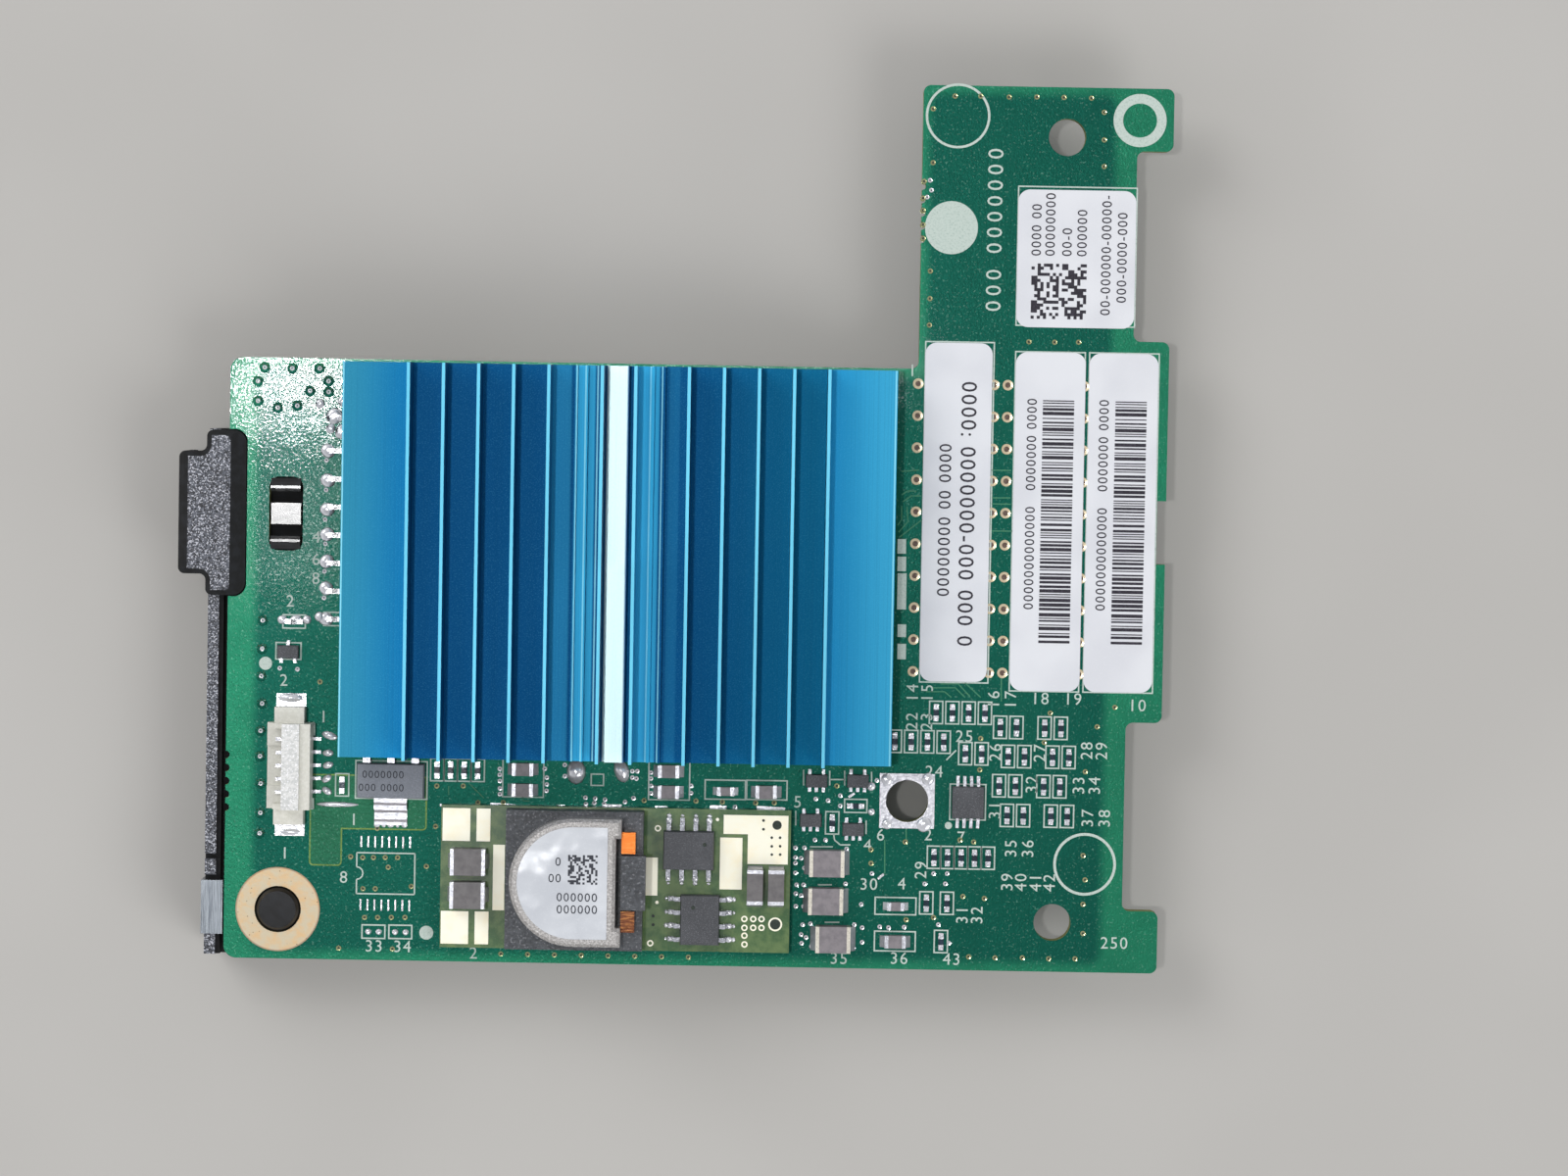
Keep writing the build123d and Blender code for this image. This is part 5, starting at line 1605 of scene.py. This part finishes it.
    # Copper lines: under the lacquer, and bare.
    covered_line: float = 0.12
    bare_line: float = 0.22
    covered: tuple[tuple[Point, ...], ...] = (
        ((30.05, 5.66), (31.89, 5.66)), ((30.11, 2.48), (31.94, 2.47)), ((30.18, -0.08), (32.13, -0.07)),
        ((30.13, 3.04), (31.89, 3.07)), ((21.57, 5.39), (23.23, 5.56)),
        ((21.61, 3.17), (22.15, 3.55), (22.99, 3.56)), ((21.71, 2.52), (22.53, 3.09), (23.46, 3.11)),
        ((21.62, 2.15), (21.65, 0.85), (21.29, 0.29)), ((22.13, 2.07), (22.25, 0.68), (21.39, -0.35)),
        ((23.59, 0.89), (21.49, -0.82)), ((24.89, -15.02), (27.02, -14.98), (27.96, -15.89)),
        ((25.62, -14.63), (27.29, -14.61), (28.42, -15.79)), ((27.93, -14.5), (29.44, -15.86)),
        ((24.25, -15.4), (26.0, -15.37), (26.66, -15.91)), ((20.6, -29.54), (20.66, -32.69)),
        ((31.35, -13.98), (31.39, -16.2)), ((22.61, -28.11), (22.64, -29.5)),
        ((-20.78, -25.17), (-20.76, -26.0)), ((-18.84, -24.86), (-17.42, -26.22)),
        ((-13.07, -26.42), (-13.72, -26.43), (-13.73, -25.88))
    )
    bare: tuple[tuple[Point, ...], ...] = (
        ((20.02, -33.25), (20.57, -32.78)), ((17.11, -25.53), (17.66, -25.15)),
        ((-12.32, -26.92), (-9.73, -26.83)), ((-16.77, -26.76), (-13.8, -26.9)),
        ((-6.12, -26.72), (-4.36, -26.73)), ((-1.21, -26.77), (0.0, -26.8)),
        ((-21.58, -26.94), (-19.08, -26.9)), ((8.42, -26.6), (11.11, -26.74)),
        ((3.98, -26.63), (5.55, -26.65))
    )

    def column(self, x: float) -> list[Point]:
        """Places of one column of connector vias.

        Args:
            x: Place along X.

        Returns:
            The places.
        """
        near, far = self.column_ends
        steps = self.column_count - 1
        return [(x, near + (far - near) * index / steps) for index in range(self.column_count)]

    def vias(self, name: str, via: Via, finishes: tuple[str, str], places: Sequence[Point]) -> None:
        """One kind of via on the upper face, its floor a plug or painted hole shade.

        Args:
            name: Name of the piece.
            via: Sizes of its rings.
            finishes: Finish of the rings and of their floors, a plug or painted hole shade.
            places: Where the holes are.
        """
        piece = self.bench.stamp(self.bench.cup(via, finishes), name, [(x, y, self.top) for x, y in places])
        self.bench.hand_in([piece], name, None, Slot.COPPER)

    def all_vias(self) -> None:
        """The connector's ringed holes and the small vias, on both faces."""
        ringed = [spot for x in self.columns for spot in self.column(x)]
        self.vias("connector_vias", self.big_via, ("barrel", "plug"), ringed)
        start, y, step, count = self.bottom_row
        plated = [*self.plated, *[(start + step * index, y) for index in range(count)]]
        self.vias("edge_vias", self.plain_via, ("amber", "hollow"), plated)
        self.vias("solder_vias", self.bright_via, ("solder", "hollow"), self.bright)
        self.underside([*plated, *self.bright])
        collar = self.bench.dome(*self.collar, self.collar_fineness)
        places = [(x, y, self.top - self.collar_sink) for x, y in self.bright[:self.collared]]
        collars = self.bench.stamp(collar, "lacquer_collars", places)
        self.bench.hand_in([collars], "lacquer_collars", "mask", None)

    def turned(self, piece: Thing) -> Thing:
        """Turns a piece drawn for the level 0, with its Y places mirrored, over onto the underside."""
        piece.data.transform(Matrix.Translation((0, 0, self.under * MM)) @ Matrix.Rotation(math.pi, 4, "X"))
        return piece

    def underside(self, places: Sequence[Point]) -> None:
        """The vias, their floors a plug or painted hole shade, outlines and numbers on the face below.

        Args:
            places: The vias that pass through the board.
        """
        low, high = self.under_span
        clear = [(x, y) for x, y in places if low < x < high and not any(
            left < x < right and abs(y) < self.housing_reach for left, right in self.housing_spans)]
        edge = self.column(self.columns[-1])
        for name, via, finishes, spots in (("under_vias", self.plain_via, ("amber", "hollow"), clear),
                                           ("under_rings", self.big_via, ("barrel", "plug"), edge)):
            piece = self.bench.stamp(self.bench.cup(via, finishes), name, [(x, -y, 0.0) for x, y in spots])
            self.bench.hand_in([self.turned(piece)], name, None, Slot.COPPER)
        lines = []
        for points in self.under_routes:
            lines += self.bench.route([(x, -y) for x, y in points], self.under_line, self.film, 0.0)
        lines += [self.bench.put(self.bench.digits(text, self.under_size, self.film), x, -y, 0)
                  for text, x, y in self.under_figures]
        self.bench.hand_in([self.turned(self.bench.join(lines, "under_print"))], "under_print", "silk", None)

    def lumps(self) -> None:
        """Bright uneven solder on bare pads, the small ones turned each its own way."""
        column, *sizes = self.header_lump
        plan = [(column, y, *sizes) for y in self.header_lumps] + list(self.drops)
        made = []
        for index, (x, y, length, width, height) in enumerate(plan):
            turn = self.drop_turns[index % len(self.drop_turns)] if length < self.long_drop else 0
            drop = self.bench.dome(length, width, height)
            made.append(self.bench.put(drop, x, y, self.top - self.sink, turn))
        self.bench.hand_in(made, "solder_lumps", "solder", Slot.TIN)

    def bare_footprint(self) -> None:
        """Tinned pads of the empty eight-by-two footprint and of the empty chip places."""
        pad = self.bench.block(*self.pad)
        self.bench.shape(pad, lambda: (self.bench.pick(lambda face: face.normal.z > LEVEL),
                                       bpy.ops.mesh.inset(thickness=self.pad_rim * MM),
                                       self.bench.lift(self.pad_swell)))
        rows = [(self.pad_start + self.pad_step * index, y, self.top)
                for index in range(self.pad_count) for y in self.pad_rows]
        pads = self.bench.stamp(pad, "footprint_pads", rows)
        chips = self.bench.stamp(self.bench.dome(*self.chip_pad), "chip_pads",
                                 [(x, self.chip_row, self.top) for x in self.chip_pads])
        self.bench.hand_in([pads, chips], "footprint_pads", "solder", Slot.TIN)

    def fillets(self) -> None:
        """Solder that runs from each chip terminal down to its pad."""
        made = []
        for kind, sizes in self.fillet_sizes:
            centres = [solid.middle for solid in solids_of(kind + "_bodies")]
            places = []
            for solid in solids_of(kind + "_terminals"):
                middle = solid.middle
                nearest = min(centres, key=lambda centre: (centre - middle).length)
                out = (middle - nearest).to_2d().normalized()
                turn = round(math.degrees(math.atan2(out.y, out.x)) / QUARTER) * QUARTER
                reach = solid.size.x / 2 if turn % (2 * QUARTER) == 0 else solid.size.y / 2
                places.append((middle.x + out.x * reach, middle.y + out.y * reach, solid.low.z, turn))
            made.append(self.bench.stamp(self.bench.wedge(*sizes), kind + "_solder", places))
        self.bench.hand_in(made, "solder_fillets", "solder", Slot.TIN)

    def lead_solder(self) -> None:
        """Uneven drops of solder at the feet of the two packages on the module."""
        drops = []
        for package in ("driver", "switch"):
            centre = solids_of(package + "_body")[0].middle
            for index, solid in enumerate(solids_of(package + "_leads")):
                away = solid.middle - centre
                out = Vector((away.x, 0) if solid.size.x > solid.size.y else (0, away.y)).normalized()
                turn = math.degrees(math.atan2(out.y, out.x))
                reach = max(solid.size.x, solid.size.y) / 2
                grown = self.lead_growth[index % len(self.lead_growth)]
                for share, length, width, height in self.lead_drops:
                    place = solid.middle.to_2d() + out * reach * share
                    drop = self.bench.dome(length * grown, width * grown, height)
                    drops.append(self.bench.put(drop, *place, solid.low.z - self.sink, turn))
        self.bench.hand_in(drops, "lead_solder", "solder", Slot.TIN)

    def tab(self) -> None:
        """Strips of painted shade along the folds of the regulator's tab, and the solder at its foot."""
        left, right = self.bend_ends
        fold_shades = []
        for y, level in self.fold_shades:
            fold_shades += self.bench.route(((left, y), (right, y)), *self.bend_line, level)
        self.bench.hand_in(fold_shades, "tab_fold_shades", "bend", Slot.TIN)
        x, y = self.foot_start
        drops = []
        for index, length in enumerate(self.foot_drops):
            drop = self.bench.dome(length, *self.foot_size)
            drops.append(self.bench.put(drop, x + self.foot_step * index, y, self.top - self.sink))
        self.bench.hand_in(drops, "tab_solder", "solder", Slot.TIN)

    def traces(self) -> None:
        """Thin conductors that show through the lacquer, and short bare ones."""
        for name, runs, width, finish in (("covered_traces", self.covered, self.covered_line, "trace"),
                                          ("bare_traces", self.bare, self.bare_line, "solder")):
            made = []
            for run in runs:
                made += self.bench.route(run, width, self.film, self.top)
            self.bench.hand_in(made, name, finish, Slot.COPPER)

    def build(self) -> None:
        """Builds the metal details."""
        self.traces()
        self.tab()
        self.lead_solder()
        self.all_vias()
        self.lumps()
        self.bare_footprint()
        self.fillets()


@dataclass
class ModuleDetail:
    """Gold rings, drilled holes and pin marks of the power module and the packages, the holes and dimples as
    painted shade.
    """

    bench: Bench
    module_top: float = 9.4
    pad_top: float = 9.48
    package_top: float = 10.85
    film: float = 0.02
    shade: float = 0.012
    sides: int = 16
    wide_sides: int = 24
    dot_sides: int = 12
    ring: Point = (0.31, 0.17)
    rings: tuple[Point, ...] = (
        (7.45, -37.08), (8.29, -37.07), (9.07, -37.06), (7.47, -37.92), (8.3, -37.9), (9.08, -37.89),
        (7.48, -38.66), (7.5, -39.49), (-0.85, -28.64), (-1.4, -39.53)
    )
    wide_place: Point = (10.37, -37.54)
    wide_ring: Point = (0.66, 0.5)
    dots: tuple[Point, ...] = ((4.76, -27.71), (-0.82, -35.65))
    dot_radius: float = 0.16
    # Holes and dimples, dark discs of painted shade: X, Y and radius, on the gold, on the module's board and
    # on the packages.
    pad_holes: tuple[Place, ...] = (
        (9.1, -27.72, 0.13), (9.11, -28.55, 0.13), (9.91, -29.33, 0.13), (10.69, -29.32, 0.13),
        (9.92, -30.15, 0.13), (10.71, -30.13, 0.13), (9.94, -30.93, 0.13), (10.72, -30.92, 0.13),
        (10.39, -28.14, 0.44)
    )
    board_holes: tuple[Place, ...] = ((10.37, -37.54, 0.49), (-1.17, -36.94, 0.15), (-1.15, -37.77, 0.15))
    dimples: tuple[Place, ...] = ((3.62, -29.99, 0.2), (2.62, -35.94, 0.2))

    def build(self) -> None:
        """Builds the rings and dots in gold, then the holes and dimples as dark discs of painted shade."""
        places = [(x, y, self.module_top) for x, y in self.rings]
        rings = self.bench.stamp(self.bench.ring(*self.ring, self.film, self.sides), "module_rings", places)
        wide = self.bench.ring(*self.wide_ring, self.film, self.wide_sides)
        self.bench.put(wide, *self.wide_place, self.module_top)
        dots = [self.bench.puck(x, y, self.module_top, self.dot_radius, self.film, self.dot_sides)
                for x, y in self.dots]
        self.bench.hand_in([rings, wide, *dots], "module_rings", "gold", Slot.GOLD)
        holes = []
        for level, spots in ((self.pad_top, self.pad_holes), (self.module_top, self.board_holes),
                             (self.package_top, self.dimples)):
            holes += [self.bench.puck(x, y, level, radius, self.shade, self.sides) for x, y, radius in spots]
        self.bench.hand_in(holes, "module_holes", "hollow", Slot.LAMINATE)


@dataclass
class LabelPrint:
    """Black print on the paper labels: bars, blocks and plain figures."""

    bench: Bench
    top: float = 7.7
    inductor_top: float = 14.1
    regulator_top: float = 9.2
    ink: float = 0.015
    seed: int = 11
    # Ladders of bars: X, first and last Y, length of a bar; thicknesses and gaps drawn from.
    ladders: tuple[Box, ...] = ((36.25, -10.6, 12.4, 2.95), (43.1, -10.6, 12.45, 2.95))
    thicknesses: tuple[float, ...] = (0.1, 0.1, 0.16, 0.24, 0.32)
    gaps: tuple[float, ...] = (0.12, 0.12, 0.18, 0.26)
    # Square fields of cells: X, Y, side and cells along a side.
    label_field: tuple[float, float, float, int] = (36.05, 22.6, 5.2, 18)
    inductor_field: tuple[float, float, float, int] = (-7.69, -32.22, 2.75, 14)
    empty_share: float = 0.48
    # Rows of figures: text, X, Y, size and turn.
    rows: tuple[tuple[str, float, float, float, int], ...] = (
        ("0000 0000000   0000000000000", 33.3, 12.5, 0.95, -90),
        ("0000 0000000   0000000000000", 40.1, 12.5, 0.95, -90),
        ("0000: 0000000-000 000 0", 27.1, 14.0, 1.5, -90), ("0000 00 00000000", 25.1, 8.1, 1.2, -90),
        ("0000 00", 34.3, 25.9, 0.95, 90), ("00000000", 35.6, 25.9, 0.95, 90), ("00-0", 37.2, 25.9, 0.95, 90),
        ("000000", 38.6, 25.9, 0.95, 90), ("00-000000-00000-", 40.9, 20.4, 0.95, 90),
        ("000-0000-000", 42.4, 21.6, 0.95, 90)
    )
    inductor_rows: tuple[tuple[str, float, float, float, int], ...] = (
        ("0", -9.72, -31.1, 0.82, 180), ("00", -9.69, -32.65, 0.82, 180),
        ("000000", -6.28, -34.42, 0.82, 180), ("000000", -6.26, -35.56, 0.82, 180))
    regulator_rows: tuple[tuple[str, float, float, float, int], ...] = (
        ("0000000", -24.89, -23.68, 0.72, 180), ("0000 000", -24.87, -24.92, 0.72, 180))

    def ladder(self, x: float, near: float, far: float, length: float) -> list[Thing]:
        """A ladder of bars of mixed thickness along Y.

        Args:
            x: Centre along X.
            near: Start along Y.
            far: End along Y.
            length: Length of each bar.

        Returns:
            The bars.
        """
        draw = random.Random(self.seed)
        made = []
        place = near
        while place < far:
            thick = draw.choice(self.thicknesses)
            bar = self.bench.raised(self.bench.plate(length, thick), self.ink)
            made.append(self.bench.put(bar, x, place + thick / 2, self.top))
            place += thick + draw.choice(self.gaps)
        return made

    def field(self, x: float, y: float, side: float, count: int, level: float) -> Thing:
        """A square field of scattered cells.

        Args:
            x: Centre along X.
            y: Centre along Y.
            side: Side of the field.
            count: Cells along each side.
            level: The level it lies on.

        Returns:
            The field.
        """
        draw = random.Random(self.seed + count)
        self.bench.clear()
        bpy.ops.mesh.primitive_grid_add(x_subdivisions=count, y_subdivisions=count, size=side * MM)
        drop = [draw.random() < self.empty_share for _ in range(count * count)]

        def steps() -> None:
            """Removes scattered cells and raises what is left."""
            self.bench.pick(lambda face: drop[face.index])
            bpy.ops.mesh.delete(type="FACE")
            self.bench.pick()
            self.bench.lift(self.ink)

        return self.bench.put(self.bench.shape(bpy.context.active_object, steps), x, y, level)

    def lines(self, rows: Sequence[tuple[str, float, float, float, int]], level: float) -> list[Thing]:
        """Rows of plain figures.

        Args:
            rows: Text, X, Y, size and turn of each.
            level: The level they lie on.

        Returns:
            The rows.
        """
        return [self.bench.put(self.bench.digits(text, size, self.ink), x, y, level, turn)
                for text, x, y, size, turn in rows]

    def build(self) -> None:
        """Builds the print of the paper labels, of the inductor's label and of the regulator."""
        bars = [bar for ladder in self.ladders for bar in self.ladder(*ladder)]
        print_parts = [*bars, self.field(*self.label_field, self.top), *self.lines(self.rows, self.top)]
        self.bench.hand_in(print_parts, "label_print", "print", Slot.PAPER)
        inductor = [self.field(*self.inductor_field, self.inductor_top),
                    *self.lines(self.inductor_rows, self.inductor_top)]
        self.bench.hand_in(inductor, "inductor_print", "code", Slot.PAPER)
        regulator = self.lines(self.regulator_rows, self.regulator_top)
        self.bench.hand_in(regulator, "regulator_print", "code", Slot.PACKAGE)


@dataclass(frozen=True)
class Lamp:
    """One soft rectangular light: where it hangs, its size along X and Y, its watts, and what it faces."""

    name: str
    place: Place
    size: Point
    watts: float
    aim: Place = (0, 0, 0)


@dataclass
class Studio:
    """Floor, lights, world and the camera at the photograph's angle."""

    floor_side: float = 4.0
    floor_tone: Colour = paint(196, 194, 190)
    floor_grain: Grain = Grain(0.02, 2.0)
    floor_veil: Veil = Veil(0.3, 0.7, paint(190, 188, 184))
    floor_roughness: float = 0.9
    # Light from both sides, and three small lamps that glance off the far left edge.
    lamps: tuple[Lamp, ...] = (
        Lamp("corner_light", (-137, 14, 1000), (36, 26), 1.2, (-137, 14, 0)),
        Lamp("tail_light", (-138, -30, 1000), (30, 40), 0.12, (-138, -30, 0)),
        Lamp("edge_light", (-56, 24, 1000), (210, 10), 0.34, (-56, 24, 0)),
        Lamp("left_light", (-700, 600, 800), (600, 600), 4.5),
        Lamp("right_light", (700, -600, 800), (600, 600), 4.2))
    # The world's light: place on the ramp from below to above, and its colour.
    sky: tuple[tuple[float, Colour], ...] = ((0.1, (0.75, 0.75, 0.76, 1)), (0.95, (0.3, 0.3, 0.31, 1)))
    eye: Place = (10.33, 12.7, 457.6)
    target: Place = (10.65, -5.82, 7.6)
    tilt: float = 1.0
    lens: float = 109.4
    sight: Point = (0.01, 20.0)

    def floor(self) -> None:
        """A plain pale floor."""
        bpy.ops.mesh.primitive_plane_add(size=self.floor_side, location=(0, 0, 0))
        floor = bpy.context.active_object
        floor.name = "floor"
        recipe = Recipe("pale_floor")
        recipe.set(Base_Color=recipe.veil(self.floor_tone, recipe.noise(self.floor_grain), self.floor_veil),
                   Roughness=self.floor_roughness)
        floor.data.materials.append(recipe.material)

    def lights(self) -> None:
        """The lamps."""
        for lamp in self.lamps:
            data = bpy.data.lights.new(lamp.name, "AREA")
            data.shape = "RECTANGLE"
            data.size, data.size_y = [side * MM for side in lamp.size]
            data.energy = lamp.watts
            hung = bpy.data.objects.new(lamp.name, data)
            hung.location = Vector(lamp.place) * MM
            hung.rotation_euler = (Vector(lamp.aim) - Vector(lamp.place)).to_track_quat("-Z", "Y").to_euler()
            bpy.context.scene.collection.objects.link(hung)

    def world(self) -> None:
        """A soft world, paler from below than from above."""
        world = bpy.data.worlds.new("studio")
        bpy.context.scene.world = world
        world.use_nodes = True
        tree = world.node_tree
        tree.nodes.clear()
        output = tree.nodes.new("ShaderNodeOutputWorld")
        background = tree.nodes.new("ShaderNodeBackground")
        coordinates = tree.nodes.new("ShaderNodeTexCoord")
        split = tree.nodes.new("ShaderNodeSeparateXYZ")
        ramp = tree.nodes.new("ShaderNodeValToRGB")
        for element, (place, colour) in zip(ramp.color_ramp.elements, self.sky):
            element.position = place
            element.color = colour
        tree.links.new(coordinates.outputs["Generated"], split.inputs[0])
        tree.links.new(split.outputs[2], ramp.inputs[0])
        tree.links.new(ramp.outputs[0], background.inputs[0])
        background.inputs[1].default_value = 1.0
        tree.links.new(background.outputs[0], output.inputs[0])
        bpy.context.scene.view_settings.view_transform = "Standard"

    def camera(self) -> None:
        """The camera that looks down on the card, turned as in the photograph."""
        data = bpy.data.cameras.new("camera")
        data.lens = self.lens
        data.clip_start, data.clip_end = self.sight
        camera = bpy.data.objects.new("camera", data)
        eye = Vector(self.eye) * MM
        forward = (Vector(self.target) * MM - eye).normalized()
        turn = math.radians(self.tilt)
        right = Vector((math.cos(turn), math.sin(turn), 0))
        right = (right - forward * right.dot(forward)).normalized()
        up = right.cross(forward)
        rotation = Matrix((right, up, -forward)).transposed()
        camera.matrix_world = Matrix.Translation(eye) @ rotation.to_4x4()
        bpy.context.scene.collection.objects.link(camera)
        bpy.context.scene.camera = camera

    def build(self) -> None:
        """Builds the studio."""
        self.floor()
        self.lights()
        self.world()
        self.camera()


def main() -> None:
    """Builds the card's looks in order."""
    logging.basicConfig(level=logging.INFO, format="%(message)s")
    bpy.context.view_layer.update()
    bench = Bench(Cast.build())
    Studio().build()
    Nodes(bench).dress()
    BoardPrint(bench).build()
    BoardMetal(bench).build()
    ModuleDetail(bench).build()
    LabelPrint(bench).build()


if __name__ == "__main__":
    main()
